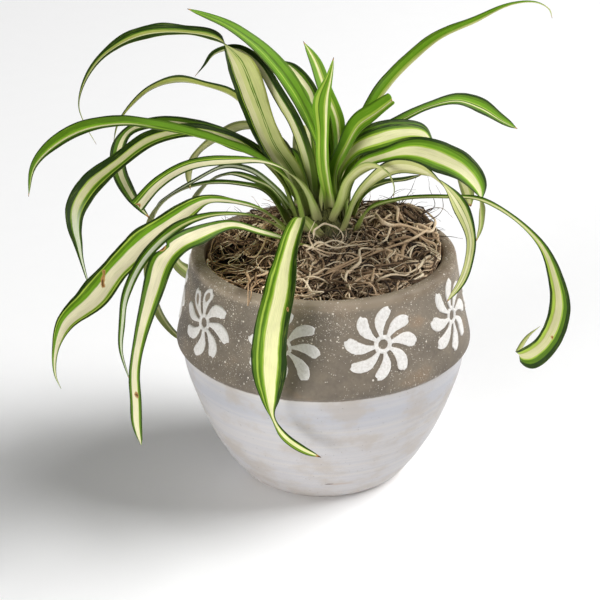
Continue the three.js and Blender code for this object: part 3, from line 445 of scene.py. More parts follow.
def make_mesh(name, points, quads, triangles=None, smooth=True):
    """Object from points in millimetres and whole-number arrays of its four- and three-sided faces."""
    mesh = bpy.data.meshes.new(name)
    points = np.asarray(points, dtype=float) * MM
    corners = np.asarray(quads).ravel()
    starts = np.arange(0, corners.size, 4)
    if triangles is not None:
        starts = np.concatenate([starts, corners.size + np.arange(0, triangles.size, 3)])
        corners = np.concatenate([corners, triangles.ravel()])
    mesh.vertices.add(len(points))
    mesh.vertices.foreach_set("co", points.ravel())
    mesh.loops.add(corners.size)
    mesh.loops.foreach_set("vertex_index", corners)
    mesh.polygons.add(len(starts))
    mesh.polygons.foreach_set("loop_start", starts)
    mesh.update(calc_edges=True)
    mesh.validate()
    mesh.polygons.foreach_set("use_smooth", np.full(len(mesh.polygons), smooth))
    return in_scene(name, mesh)


def in_scene(name, data):
    thing = bpy.data.objects.new(name, data)
    bpy.context.scene.collection.objects.link(thing)
    return thing


def add_value(piece, name, values):
    """A number for each vertex, which the piece's material reads."""
    layer = piece.data.attributes.new(name, "FLOAT", "POINT")
    layer.data.foreach_set("value", np.asarray(values, dtype=np.float32).ravel())


def dress(piece, material, node):
    """Give a piece its material, and say what it rides on and which node of the frame it replaces."""
    piece.data.materials.append(material)
    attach(piece, BODY)
    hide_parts(node)


def circle(count):
    """Angles evenly round a circle."""
    return np.linspace(0, 2 * math.pi, count, endpoint=False)


def ring_points(radius, angle, height):
    return np.stack([radius * np.cos(angle), radius * np.sin(angle), height + 0 * angle], -1)


def ring_faces(rows, columns):
    """Quads between rows of points, each row a closed ring."""
    row = np.arange(rows - 1)[:, None] * columns
    here = np.arange(columns)[None, :]
    after = (here + 1) % columns
    return np.stack([row + here, row + after, row + columns + after, row + columns + here], -1).reshape(-1, 4)


def closed_rings(rows, sides, downward=False):
    """Quads and end triangles of a stack of rings, whose two end points follow the rings."""
    here = np.arange(sides)
    after = (here + 1) % sides
    last = (rows - 1) * sides
    quads = ring_faces(rows, sides)
    fans = np.concatenate([
        np.stack([after, here, np.full(sides, rows * sides)], -1),
        np.stack([last + here, last + after, np.full(sides, rows * sides + 1)], -1),
    ])
    return (quads[:, ::-1], fans[:, [1, 0, 2]]) if downward else (quads, fans)


def both_faces(lower, upper):
    """Rows of a strip's lower face and then of its upper face, as one closed ring a row."""
    return np.concatenate([lower, upper[:, ::-1]], axis=1)


def strip_faces(rows, columns):
    """Quads of a thin strip made of such rings, closed at both ends."""
    k = np.arange(columns - 1)
    cap = np.stack([k, k + 1, 2 * columns - 2 - k, 2 * columns - 1 - k], -1)
    return np.concatenate([ring_faces(rows, 2 * columns), cap[:, ::-1], cap + (rows - 1) * 2 * columns])


def join_parts(name, parts, label):
    """One piece from several sets of points, quads and vertex values."""
    points, quads, values = zip(*parts)
    starts = np.cumsum([0] + [len(part) for part in points])
    piece = make_mesh(name, np.concatenate(points), np.concatenate([q + s for q, s in zip(quads, starts)]))
    add_value(piece, label, np.concatenate(values))
    return piece


def value_noise(points, seed, scale):
    """Smooth random values from -1 to 1 along a line of positions."""
    draw = np.random.default_rng(seed)
    knots = draw.uniform(-1, 1, 512)
    place = np.asarray(points, dtype=float) * scale + 37
    cell = np.floor(place).astype(int)
    part = place - cell
    part = part * part * (3 - 2 * part)
    return knots[cell % 512] * (1 - part) + knots[(cell + 1) % 512] * part


def smoothstep(values, low, high):
    part = np.clip((np.asarray(values, dtype=float) - low) / (high - low), 0, 1)
    return part * part * (3 - 2 * part)


# Leaf routes, grown and bent apart as the frame's solids are


def along_route(rows, steps):
    """Rows at even steps on a smooth curve through the given ones, whose missing last values are 0."""
    full = [np.array([*row] + [0] * (5 - len(row)), dtype=float) for row in rows]
    knots = [2 * full[0] - full[1], *full, 2 * full[-1] - full[-2]]
    last = len(full) - 1
    samples = []
    for step in range(steps + 1):
        s = step / steps * last
        i = min(int(s), last - 1)
        p0, p1, p2, p3 = knots[i : i + 4]
        t1 = max(np.linalg.norm((p1 - p0)[:3]), 1e-6) ** 0.5
        t2 = t1 + max(np.linalg.norm((p2 - p1)[:3]), 1e-6) ** 0.5
        t3 = t2 + max(np.linalg.norm((p3 - p2)[:3]), 1e-6) ** 0.5
        t = t1 + (s - i) * (t2 - t1)
        a = (p0 * (t1 - t) + p1 * t) / t1
        b = (p1 * (t2 - t) + p2 * (t - t1)) / (t2 - t1)
        c = (p2 * (t3 - t) + p3 * (t - t2)) / (t3 - t2)
        d = (a * (t2 - t) + b * t) / t2
        e = (b * (t3 - t) + c * (t - t1)) / (t3 - t1)
        samples.append((d * (t2 - t) + e * (t - t1)) / (t2 - t1))
    return np.array(samples)


def unit(vectors):
    return vectors / np.maximum(np.linalg.norm(vectors, axis=-1, keepdims=True), 1e-12)


def blade_frames(centres, facing, turns):
    """Tangent, side and face at each point, turning no more than the route bends, then by turns."""
    after = np.vstack([centres[1:], centres[-1:]])
    before = np.vstack([centres[:1], centres[:-1]])
    tangents = unit(after - before)
    side = np.array((-math.sin(facing), math.cos(facing), 0.0))
    side = unit(side - tangents[0] * side.dot(tangents[0]))
    sides = []
    for i, tangent in enumerate(tangents):
        if i > 0:
            step = centres[i] - centres[i - 1]
            c1 = 2 / step.dot(step)
            side = side - step * (c1 * step.dot(side))
            mirrored = tangents[i - 1] - step * (c1 * step.dot(tangents[i - 1]))
            lean = tangent - mirrored
            c2 = lean.dot(lean)
            if c2 > 1e-12:
                side = side - lean * (2 / c2 * lean.dot(side))
            side = unit(side - tangent * side.dot(tangent))
        sides.append(side)
    sides = np.array(sides)
    faces = np.cross(tangents, sides)
    sides = sides * np.cos(turns)[:, None] + faces * np.sin(turns)[:, None]
    return tangents, sides, np.cross(tangents, sides)


def grow_leaves():
    """Each leaf with its route, widths and turns at each station."""
    leaves = []
    for name, (facing, route) in LEAVES.items():
        samples = along_route(route, STATIONS)
        leaf = {"name": name, "facing": math.radians(facing), "route": samples[:, :3]}
        leaf["widths"] = np.maximum(samples[:, 3], LEAST_WIDTH)
        leaf["turns"] = np.radians(samples[:, 4])
        leaf["centres"] = leaf["route"].copy()
        leaf["frames"] = blade_frames(leaf["centres"], leaf["facing"], leaf["turns"])
        leaves.append(leaf)
    return leaves


def close_pairs(points, owners):
    """Pairs of points of different leaves that lie closer than the clearance."""
    cells = np.floor(points / CLEARANCE).astype(np.int64) + 512
    keys = (cells[:, 0] * 1024 + cells[:, 1]) * 1024 + cells[:, 2]
    order = np.argsort(keys, kind="stable")
    ranked = keys[order]
    firsts, seconds = [], []
    for di in (-1, 0, 1):
        for dj in (-1, 0, 1):
            near = keys + (di * 1024 + dj) * 1024
            low = np.searchsorted(ranked, near - 1, "left")
            counts = np.searchsorted(ranked, near + 1, "right") - low
            first = np.repeat(np.arange(len(keys)), counts)
            offset = np.arange(counts.sum()) - np.repeat(np.cumsum(counts) - counts, counts)
            second = order[np.repeat(low, counts) + offset]
            keep = (second > first) & (owners[first] != owners[second])
            firsts.append(first[keep])
            seconds.append(second[keep])
    first, second = np.concatenate(firsts), np.concatenate(seconds)
    distance = np.linalg.norm(points[first] - points[second], axis=1)
    keep = distance < CLEARANCE
    return first[keep], second[keep], distance[keep]


def bend_apart(leaves):
    """Leaves that press on each other bend apart, and stay where they are rooted."""
    count = STATIONS + 1
    routes = np.array([leaf["route"] for leaf in leaves])
    centres = routes.copy()
    tangents, sides, faces = (np.array([leaf["frames"][k] for leaf in leaves]) for k in range(3))
    half = np.array([leaf["widths"] for leaf in leaves])[:, :, None, None] / 2
    across = ACROSS[None, None, :, None]
    spread = half * across * math.cos(CHANNEL) * sides[:, :, None]
    spread = spread + half * (np.abs(across) - 0.5) * math.sin(CHANNEL) * faces[:, :, None]
    leaf_index, station_index, _ = np.indices(spread.shape[:3])
    owners = leaf_index.ravel()
    slots = (leaf_index * count + station_index).ravel()
    freedom = smoothstep(np.arange(count), 0, ROOT_STATIONS)[None, :, None]
    share = np.array((1, 2, 3, 4, 3, 2, 1)) / 16
    flat_tangents = tangents.reshape(-1, 3)
    for _ in range(PASSES):
        points = (centres[:, :, None] + spread).reshape(-1, 3)
        first, second, distance = close_pairs(points, owners)
        mine, theirs = slots[first], slots[second]
        flat = centres.reshape(-1, 3)
        away = flat[mine] - flat[theirs]
        along = flat_tangents[mine]
        away = away - along * np.sum(away * along, axis=1, keepdims=True)
        length = np.linalg.norm(away, axis=1)
        keep = length >= 1e-6
        push = away[keep] / length[keep, None] * ((CLEARANCE - distance[keep]) / 2)[:, None]
        sums = np.zeros_like(flat)
        hits = np.zeros(len(flat))
        np.add.at(sums, mine[keep], push)
        np.add.at(sums, theirs[keep], -push)
        np.add.at(hits, mine[keep], 1)
        np.add.at(hits, theirs[keep], 1)
        moves = (sums / np.maximum(hits, 1)[:, None]).reshape(centres.shape)
        padded = np.concatenate([moves[:, :1]] * 3 + [moves] + [moves[:, -1:]] * 3, axis=1)
        shared = sum(weight * padded[:, k : k + count] for k, weight in enumerate(share))
        bends = centres - routes + shared * GIVE * freedom
        after = np.concatenate([bends[:, 1:], bends[:, -1:]], axis=1)
        before = np.concatenate([bends[:, :1], bends[:, :-1]], axis=1)
        eased = bends + EASING * ((after + before) / 2 - bends)
        eased[:, 0] = bends[:, 0]
        centres = routes + eased
    for leaf, places in zip(leaves, centres):
        leaf["centres"] = places
        leaf["frames"] = blade_frames(places, leaf["facing"], leaf["turns"])


# Materials


class Graph:
    """Short ways to add and link shader nodes; colours are given from 0 to 255."""

    def __init__(self, name):
        self.material = bpy.data.materials.new(name)
        self.material.use_nodes = True
        self.tree = self.material.node_tree
        self.shader = self.tree.nodes["Principled BSDF"]

    def add(self, kind, settings=None, **inputs):
        node = self.tree.nodes.new(kind)
        for name, value in (settings or {}).items():
            setattr(node, name, value)
        for name, value in inputs.items():
            self.put(node.inputs[name.replace("_", " ")], value)
        return node

    def put(self, socket, value):
        if isinstance(value, bpy.types.NodeSocket):
            self.tree.links.new(value, socket)
        elif socket.type == "RGBA":
            socket.default_value = srgb(*value)
        else:
            socket.default_value = value

    def fill(self, kind, settings, *values):
        """Add a node and fill its inputs in order."""
        node = self.add(kind, settings)
        for socket, value in zip(node.inputs, values):
            self.put(socket, value)
        return node.outputs[0]

    def value(self, name):
        return self.add("ShaderNodeAttribute", {"attribute_name": name}).outputs["Fac"]

    def math(self, operation, a, b=0.0, c=0.0):
        return self.fill("ShaderNodeMath", {"operation": operation}, a, b, c)

    def plus(self, a, b):
        return self.math("ADD", a, b)

    def minus(self, a, b):
        return self.math("SUBTRACT", a, b)

    def times(self, a, b):
        return self.math("MULTIPLY", a, b)

    def scaled(self, value, gain, start):
        return self.math("MULTIPLY_ADD", value, gain, start)

    def swing(self, value, gain, middle):
        """A value that lies about 0.5, scaled and set about a new middle."""
        return self.scaled(self.minus(value, 0.5), gain, middle)

    def vector(self, x, y, z):
        return self.fill("ShaderNodeCombineXYZ", None, x, y, z)

    def place(self):
        """Place on the piece in millimetres."""
        node = self.add("ShaderNodeVectorMath", {"operation": "SCALE"}, Scale=1 / MM)
        self.put(node.inputs[0], self.add("ShaderNodeTexCoord").outputs["Object"])
        return node.outputs[0]

    def split(self, vector):
        return self.add("ShaderNodeSeparateXYZ", Vector=vector).outputs

    def stretch(self, vector, x=1.0, y=1.0, z=1.0, shift=(0.0, 0.0, 0.0)):
        return self.add("ShaderNodeMapping", Vector=vector, Scale=(x, y, z), Location=shift).outputs[0]

    def length(self, vector):
        return self.add("ShaderNodeVectorMath", {"operation": "LENGTH"}, Vector=vector).outputs["Value"]

    def noise(self, vector, scale, detail=2.0, roughness=0.5):
        node = self.add("ShaderNodeTexNoise", Vector=vector, Scale=scale, Detail=detail, Roughness=roughness)
        return node.outputs[0]

    def cells(self, vector, scale):
        """Distance from the middle of a scattered cell, and three numbers drawn for the cell."""
        outputs = self.add("ShaderNodeTexVoronoi", Vector=vector, Scale=scale).outputs
        return outputs["Distance"], self.split(outputs["Color"])

    def spots(self, vector, scale, low, high, channel, share):
        """Round spots in a share of the scattered cells, which fade out from low to high."""
        distance, draws = self.cells(vector, scale)
        chosen = self.math("LESS_THAN", draws[channel], share)
        return self.times(self.between(distance, low, high, 1.0, 0.0), chosen)

    def between(self, value, low, high, to_low=0.0, to_high=1.0):
        settings = {"interpolation_type": "SMOOTHSTEP"}
        return self.fill("ShaderNodeMapRange", settings, value, low, high, to_low, to_high)

    def mix(self, share, first, second, way="MIX"):
        node = self.add("ShaderNodeMix", {"data_type": "RGBA", "blend_type": way})
        for socket, value in zip((node.inputs[0], node.inputs[6], node.inputs[7]), (share, first, second)):
            self.put(socket, value)
        return node.outputs[2]

    def shade(self, colour, light):
        return self.mix(1.0, colour, self.vector(light, light, light), "MULTIPLY")

    def ramp(self, factor, stops):
        node = self.add("ShaderNodeValToRGB", Fac=factor)
        elements = node.color_ramp.elements
        while len(elements) < len(stops):
            elements.new(0.5)
        for element, (place, colour) in zip(elements, stops):
            element.position = place
            element.color = srgb(*colour)
        return node.outputs[0]

    def stripes(self, across, text):
        """Stripes from words such as "dark 10, green 14"."""
        bands = [band.split() for band in text.split(",")]
        total = sum(float(share) for _, share in bands)
        stops = []
        low = 0.0
        for tone, share in bands:
            high = low + float(share) / total
            blur = min(0.014, (high - low) * 0.3)
            stops.append((low + blur if low > 0 else 0.0, TONES[tone]))
            stops.append((high - blur if high < 0.999 else 1.0, TONES[tone]))
            low = high
        return self.ramp(across, stops)

    def bump(self, height, distance, strength=1.0):
        return self.add("ShaderNodeBump", Height=height, Distance=distance * MM, Strength=strength).outputs[0]

    def finish(self, colour, roughness, specular, normal=None):
        self.put(self.shader.inputs["Base Color"], colour)
        self.put(self.shader.inputs["Roughness"], roughness)
        self.put(self.shader.inputs["Specular IOR Level"], specular)
        if normal is not None:
            self.put(self.shader.inputs["Normal"], normal)
        return self.material


def leaf_material(name, seed):
    """Cream and green stripes along the blade, with fine veins, a pale base and dry tips."""
    graph = Graph("leaf_" + name)
    across, along = graph.value("across"), graph.value("along")
    lengthwise = graph.vector(graph.times(across, 10.0), graph.times(along, 0.035), seed * 3.7)
    sway = graph.noise(graph.stretch(lengthwise, 0.12), 1.0, 2.0)
    streak = graph.noise(lengthwise, 3.2, 3.0, 0.6)
    vein = graph.noise(graph.stretch(lengthwise, 1.0, 0.3), 9.0, 2.0, 0.6)
    warped = graph.plus(graph.plus(across, graph.swing(sway, 0.09, 0.0)), graph.swing(streak, 0.07, 0.0))
    colour = graph.stripes(warped, STRIPES.get(name, PLAIN))
    if name in OUTER_STRIPES:
        start, stripes = OUTER_STRIPES[name]
        beyond = graph.between(graph.value("part"), start - 0.06, start + 0.06)
        colour = graph.mix(beyond, colour, graph.stripes(warped, stripes))
    if name in UNDERSIDES:
        under = graph.stripes(warped, UNDERSIDES[name])
    else:
        under = graph.mix(0.42, colour, TONES["pale"])
    colour = graph.mix(graph.value("under"), colour, under)
    colour = graph.mix(graph.between(streak, 0.52, 0.74, 0.0, 0.3), colour, TONES["lime"])
    patch = graph.noise(graph.place(), 0.09, 2.0)
    colour = graph.shade(colour, graph.times(graph.swing(vein, 0.6, 1.0), graph.swing(patch, 0.3, 1.0)))
    colour = graph.mix(graph.between(along, 6.0, 44.0, 0.55, 0.0), colour, (136, 164, 62))
    colour = graph.mix(graph.between(along, 1.0, 12.0, 0.7, 0.0), colour, (176, 170, 122))
    dry = graph.plus(graph.value("dry"), graph.swing(streak, 0.5, 0.0))
    colour = graph.mix(graph.between(dry, 0.25, 0.5), colour, (172, 132, 78))
    colour = graph.mix(graph.between(dry, 0.55, 0.9), colour, (96, 64, 36))
    return graph.finish(colour, graph.scaled(streak, 0.12, 0.46), 0.16, graph.bump(vein, 0.12, 0.5))


# Leaf blades


def smooth_through(values, places):
    """Values at fractional stations, on a smooth curve through the whole ones."""
    padded = np.concatenate([2 * values[:1] - values[1:2], values, 2 * values[-1:] - values[-2:-1]])
    cell = np.clip(np.floor(places).astype(int), 0, len(values) - 2)
    f = (places - cell).reshape((-1,) + (1,) * (values.ndim - 1))
    p0, p1, p2, p3 = (padded[cell + k] for k in range(4))
    bend = (2 * p0 - 5 * p1 + 4 * p2 - p3) * f * f + (3 * p1 - p0 - 3 * p2 + p3) * f**3
    return 0.5 * (2 * p1 + (p2 - p0) * f + bend)


def edge_reach(name, seed, along, half, across):
    """How far the blade reaches from its middle at each point across, less any notch."""
    reach = half[:, None] + 0 * across
    if name not in NOTCHES:
        return reach
    where, edge, long, deep = NOTCHES[name]
    near = np.clip(1 - np.abs(along - where * along[-1]) / (long / 2), 0, 1)
    bite = deep * smoothstep(near, 0, 0.35) * (1 + 0.3 * value_noise(along, seed + 9, 0.6))
    return reach * np.where(np.sign(across) == edge, 1 - bite[:, None], 1)


def blade_faces(leaf, seed):
    """Points of a blade's lower and upper faces, with its length so far and half its width in each row."""
    name = leaf["name"]
    steps = np.linalg.norm(np.diff(leaf["centres"], axis=0), axis=1)
    reach = np.concatenate([[0], np.cumsum(steps)])
    length = reach[-1]
    along = np.linspace(0, length, int(length / RING_STEP) + 2)
    places = np.interp(along, reach, np.arange(STATIONS + 1))
    centres = smooth_through(leaf["centres"], places)
    tangents = unit(np.gradient(centres, axis=0))
    sides = smooth_through(leaf["frames"][1], places)
    sides = unit(sides - tangents * np.sum(sides * tangents, axis=1, keepdims=True))
    faces = np.cross(tangents, sides)
    half = smooth_through(leaf["widths"], places) / 2
    half = half * (1 + 0.035 * value_noise(along, seed, 0.05) + 0.012 * value_noise(along, seed + 50, 0.3))
    if name not in CUT_ENDS:
        half = half * np.sqrt(np.clip((length - along) / TIP_LENGTH, 0.02, 1))
    root = SHEATH / 2 * (1 - smoothstep(along, 7, 24))
    half = np.maximum(half, root)
    c = np.linspace(-1, 1, COLUMNS)[None, :]
    out = edge_reach(name, seed, along, half, c) * c * math.cos(CHANNEL)
    lift = half[:, None] * (np.sqrt(c * c + 0.02) - 0.52) * math.sin(CHANNEL)
    lift = lift + (0.35 * root)[:, None] * (c * c - 0.4)
    right_wave, left_wave = (value_noise(along, seed + k, 0.09)[:, None] for k in (3, 4))
    waves = np.where(c < 0, right_wave, left_wave)
    lift = lift + np.abs(c) ** 3 * waves * half[:, None] * EDGE_WAVE
    middle = centres[:, None] + out[:, :, None] * sides[:, None] + lift[:, :, None] * faces[:, None]
    if name in CUT_ENDS:
        ragged = np.clip((along - length + RAGGED_LENGTH) / RAGGED_LENGTH, 0, 1)[:, None] ** 2
        pull = ragged * (1.2 * (1 - np.abs(c)) ** 2 + 1.0 * np.abs(c) ** 4)
        middle = middle - pull[:, :, None] * tangents[:, None]
    thick = BLADE * (1 - 0.6 * c * c) * np.clip(half / 2, 0.35, 1)[:, None]
    half_thick = (thick / 2)[:, :, None] * faces[:, None]
    return middle - half_thick, middle + half_thick, along, half


def leaf_piece(leaf, seed):
    name = leaf["name"]
    lower, upper, along, half = blade_faces(leaf, seed)
    length = along[-1]
    shape = lower.shape[:2]
    c = np.linspace(-1, 1, COLUMNS)[None, :]
    piece = make_mesh("blade_" + name, both_faces(lower, upper).reshape(-1, 3), strip_faces(*shape)[:, ::-1])
    position = np.broadcast_to((c + 1) / 2, shape)
    add_value(piece, "across", both_faces(position, position))
    add_value(piece, "along", np.repeat(along, 2 * COLUMNS))
    add_value(piece, "part", np.repeat(along / length, 2 * COLUMNS))
    add_value(piece, "under", both_faces(np.ones(shape), np.zeros(shape)))
    dry = np.zeros(shape)
    for where, side, size in BLEMISHES.get(name, DRY_TIP):
        away = np.hypot(along[:, None] - where * length, (c - side) * half[:, None])
        dry = np.maximum(dry, np.clip(1.4 - away / size, 0, 1))
    add_value(piece, "dry", both_faces(dry, dry))
    dress(piece, leaf_material(name, seed), "leaf_" + name)


# Pot


def smooth_profile(profile, steps):
    """Radius and height pairs on a smooth curve through the profile's points."""
    return along_route(profile, steps * (len(profile) - 1))[:, :2]


def turned(profile, sides):
    """Points and faces of a lathe body about +Z whose profile starts and ends on the axis."""
    profile = np.asarray(profile, dtype=float)
    rings = ring_points(profile[1:-1, 0][:, None], circle(sides), profile[1:-1, 1][:, None])
    points = np.concatenate([rings.reshape(-1, 3), [[0, 0, profile[0, 1]], [0, 0, profile[-1, 1]]]])
    return (points, *closed_rings(len(profile) - 2, sides))


def wall_radius(heights):
    outside = np.array(POT_OUTSIDE[4:], dtype=float)
    return np.interp(heights, outside[:, 1], outside[:, 0])


def band_glaze(graph, place, height, grain):
    """Speckled taupe with a pale lip, stained under it; also its specks and pits."""
    broad = graph.noise(graph.stretch(place, z=1.4), 0.045, 3.0, 0.55)
    colour = graph.ramp(broad, [
        (0.30, (104, 95, 84)), (0.46, (120, 110, 97)), (0.58, (130, 119, 104)), (0.72, (140, 121, 100)),
    ])
    shade = graph.times(graph.swing(grain, 0.6, 0.96), graph.between(height, 74.0, 106.0, 0.85, 1.02))
    colour = graph.shade(colour, shade)
    lip = graph.between(graph.plus(height, graph.times(grain, 3.0)), 116.0, 120.0)
    # The lip is paler towards the left and darker towards the right, in broad patches.
    paler_left = graph.between(graph.split(place)[0], -20.0, 45.0, 1.0, 0.0)
    paler_left = graph.times(paler_left, graph.between(broad, 0.35, 0.6))
    colour = graph.mix(lip, colour, graph.mix(paler_left, (134, 121, 103), (188, 173, 152)))
    stain = graph.times(graph.between(height, 111.0, 120.5), graph.between(broad, 0.42, 0.62))
    colour = graph.mix(graph.times(stain, 0.55), colour, (92, 74, 56))
    dense = graph.between(graph.noise(place, 0.03, 2.0), 0.36, 0.6, 0.15, 1.0)
    crowded = graph.times(dense, graph.between(height, 84.0, 112.0, 0.45, 1.0))
    specks = None
    for scale, size, share in ((0.42, 0.18, 0.6), (0.95, 0.22, 0.75), (1.7, 0.25, 0.6)):
        distance, draws = graph.cells(graph.stretch(place, shift=(scale * 11, 3.1, 7.7)), scale)
        radius = graph.times(graph.scaled(draws[0], 0.8, 0.3), size)
        dot = graph.between(graph.minus(distance, radius), 0.0, 0.05, 1.0, 0.0)
        dot = graph.times(dot, graph.math("LESS_THAN", draws[1], graph.times(crowded, share)))
        specks = dot if specks is None else graph.math("MAXIMUM", specks, dot)
    colour = graph.mix(graph.times(specks, 0.9), colour, (222, 214, 202))
    pits = graph.spots(place, 0.8, 0.1, 0.2, 2, 0.07)
    return graph.mix(graph.times(pits, 0.7), colour, (62, 54, 46)), specks, pits


def bowl_glaze(graph, place, height, grain, fine):
    """Brushed off-white with washes, crumbs, a scratch and a rust mark; also its rings and crumbs."""
    rings = graph.noise(graph.stretch(place, 0.012, 0.012), 0.55, 4.0, 0.6)
    brushed = graph.noise(graph.stretch(place, 0.05, 0.05), 2.2, 3.0, 0.6)
    colour = graph.ramp(rings, [
        (0.30, (181, 180, 183)), (0.45, (187, 185, 187)), (0.56, (191, 188, 188)), (0.70, (195, 191, 187)),
    ])
    colour = graph.shade(colour, graph.swing(brushed, 0.07, 1.0))
    cool = graph.times(graph.between(height, 50.0, 60.0), graph.between(height, 64.0, 71.0, 1.0, 0.0))
    colour = graph.mix(graph.times(cool, 0.45), colour, (172, 175, 185))
    wash = graph.noise(graph.stretch(place, z=1.6, shift=(40, 8, 3)), 0.04, 4.0, 0.62)
    colour = graph.mix(graph.between(wash, 0.46, 0.66, 0.0, 0.6), colour, (176, 166, 156))
    scratch = graph.length(graph.stretch(place, 0.42, 0.1, 2.2, (-1.26, 5.17, -33.0)))
    scratch = graph.plus(scratch, graph.swing(fine, 0.8, 0.0))
    colour = graph.mix(graph.between(scratch, 0.7, 1.1, 0.85, 0.0), colour, (70, 56, 46))
    rust = graph.length(graph.stretch(place, 0.14, 0.1, 1.1, (-1.2, 5.1, -16.2)))
    colour = graph.mix(graph.between(rust, 0.3, 1.1, 0.4, 0.0), colour, (168, 140, 116))
    crumbs = graph.spots(graph.stretch(place, z=1.5, shift=(5, 9, 2)), 0.5, 0.07, 0.16, 0, 0.2)
    colour = graph.mix(graph.times(crumbs, 0.75), colour, (96, 84, 74))
    # Dark line just under the band's ledge: partly the joint of the two glazes, partly painted shade under
    # the ledge.
    seam_and_shade = graph.plus(height, graph.swing(grain, 0.9, 0.0))
    colour = graph.mix(graph.between(seam_and_shade, BAND_LOW - 1.6, BAND_LOW - 0.4), colour, (104, 90, 76))
    colour = graph.mix(graph.between(height, 0.4, 3.0, 0.7, 0.0), colour, (176, 166, 158))
    return colour, rings, crumbs


def pot_material():
    """Speckled taupe band above, brushed off-white bowl below, with a dark line where they meet."""
    graph = Graph("pot_glaze")
    place = graph.place()
    height = graph.split(place)[2]
    grain = graph.noise(place, 0.55, 4.0, 0.65)
    fine = graph.noise(place, 2.6, 2.0, 0.6)
    taupe, specks, pits = band_glaze(graph, place, height, grain)
    bowl, rings, crumbs = bowl_glaze(graph, place, height, grain, fine)
    band = graph.between(height, BAND_LOW - 0.5, BAND_LOW - 0.1)
    colour = graph.mix(band, bowl, taupe)
    colour = graph.mix(graph.value("inside"), colour, graph.mix(grain, (96, 80, 62), (134, 114, 90)))
    relief = graph.scaled(fine, 0.35, graph.times(grain, 0.65))
    relief = graph.plus(relief, graph.times(specks, 0.5))
    relief = graph.minus(relief, graph.times(pits, 1.2))
    relief = graph.minus(relief, crumbs)
    relief = graph.plus(relief, graph.times(rings, graph.between(band, 0.0, 1.0, 0.45, 0.0)))
    gloss = graph.scaled(grain, 0.25, graph.between(band, 0.0, 1.0, 0.42, 0.5))
    return graph.finish(colour, gloss, 0.38, graph.bump(relief, 0.28, 0.55))


def pot_wall():
    """The fired pot, a little out of round as a hand-made one is."""
    outside = smooth_profile(POT_OUTSIDE[2:], CURVE_STEPS)
    inside = smooth_profile(POT_INSIDE[:-1], CURVE_STEPS)
    profile = np.concatenate([POT_OUTSIDE[:2], outside, inside, POT_INSIDE[-1:]])
    points, quads, fans = turned(profile, POT_SIDES)
    angle = np.arctan2(points[:, 1], points[:, 0])
    hand = 0.22 * np.sin(3 * angle + 0.8) + 0.14 * np.sin(5 * angle + points[:, 2] * 0.05)
    radius = np.hypot(points[:, 0], points[:, 1])
    share = np.where(radius > 1, 1 + hand * smoothstep(points[:, 2], 2, 30) / np.maximum(radius, 1), 1)
    points[:, :2] *= share[:, None]
    piece = make_mesh("pot_wall", points, quads, fans)
    within = np.zeros(len(points))
    within[(1 + len(outside) + LIP_ROWS) * POT_SIDES:-2] = 1
    within[-1] = 1
    add_value(piece, "inside", within)
    dress(piece, pot_material(), "pot")


def flower_material():
    """Chalky white raised glaze, thin and stained at its edges."""
    graph = Graph("flower_glaze")
    place = graph.place()
    grain = graph.noise(place, 0.9, 4.0, 0.65)
    broad = graph.noise(place, 0.12, 2.0)
    colour = graph.ramp(grain, [(0.3, (200, 196, 190)), (0.5, (218, 215, 211)), (0.7, (230, 228, 225))])
    colour = graph.mix(graph.between(broad, 0.52, 0.75, 0.0, 0.35), colour, (212, 205, 196))
    rim = graph.plus(graph.value("edge"), graph.swing(grain, 0.5, 0.0))
    colour = graph.mix(graph.between(rim, 0.72, 1.05), colour, (142, 130, 114))
    pits = graph.spots(place, 0.75, 0.1, 0.2, 1, 0.05)
    colour = graph.mix(graph.times(pits, 0.6), colour, (120, 108, 94))
    normal = graph.bump(graph.minus(grain, pits), 0.2, 0.5)
    return graph.finish(colour, graph.scaled(grain, 0.2, 0.45), 0.35, normal)


def on_wall(across, up, proud, azimuth):
    """Points on the pot wall from places on a flat flower, standing proud of it."""
    height = FLOWER_HEIGHT + FLOWER_SQUASH * up
    radius = wall_radius(height) + proud
    angle = azimuth + across / wall_radius(FLOWER_HEIGHT)
    return np.stack([radius * np.cos(angle), radius * np.sin(angle), height], -1)


def petal(turn, azimuth, seed, hollow):
    """One comma-shaped petal: narrow at the ring, widest near its end, bent clockwise."""
    draw = np.random.default_rng(seed)
    reach = PETAL_REACH * (1 + draw.uniform(-0.05, 0.05))
    width = PETAL_WIDTH * (1 + draw.uniform(-0.09, 0.09))
    lean = PETAL_LEAN * (1 + draw.uniform(-0.2, 0.2))
    t = np.linspace(0, 1, PETAL_ROWS)[:, None]
    c = np.linspace(-1, 1, PETAL_COLUMNS)[None, :]
    body = 0.26 + 0.74 * smoothstep(t, 0.0, 0.72)
    end = np.sqrt(np.clip(1 - ((t - 0.7) / 0.3).clip(0, 1) ** 2.2, 0.0, 1))
    chips = 1 + 0.06 * value_noise(t * 20, seed, 0.9) * smoothstep(t, 0.1, 0.4)
    half = width / 2 * body * np.maximum(end, 0.03) * chips
    out = HUB_OUTSIDE - 0.9 + (reach - HUB_OUTSIDE + 0.9) * t + 0.8 * c * smoothstep(t, 0.5, 1)
    angle = turn - lean * (t * t - 0.4) + half * c / out
    edge = np.maximum(np.abs(c) ** 4 + 0 * t, 1 - np.clip((1 - t) / 0.05, 0, 1) + 0 * c)
    bare = hollow * smoothstep(1 - (c / 0.62) ** 2 - ((t - 0.66) / 0.24) ** 2, 0.0, 0.5)
    proud = RELIEF * np.sqrt(np.clip(1 - edge ** 3, 0, 1)) * (1 - 0.8 * bare) - 0.12 * edge
    edge = np.maximum(edge, 1.2 * bare)
    across, up = out * np.cos(angle), out * np.sin(angle)
    lower, upper = (on_wall(across, up, stand, azimuth) for stand in (0 * proud - RELIEF_ROOT, proud))
    rings = both_faces(lower, upper)
    edges = both_faces(np.ones(edge.shape), edge)
    return rings.reshape(-1, 3), strip_faces(*edge.shape), edges.ravel()


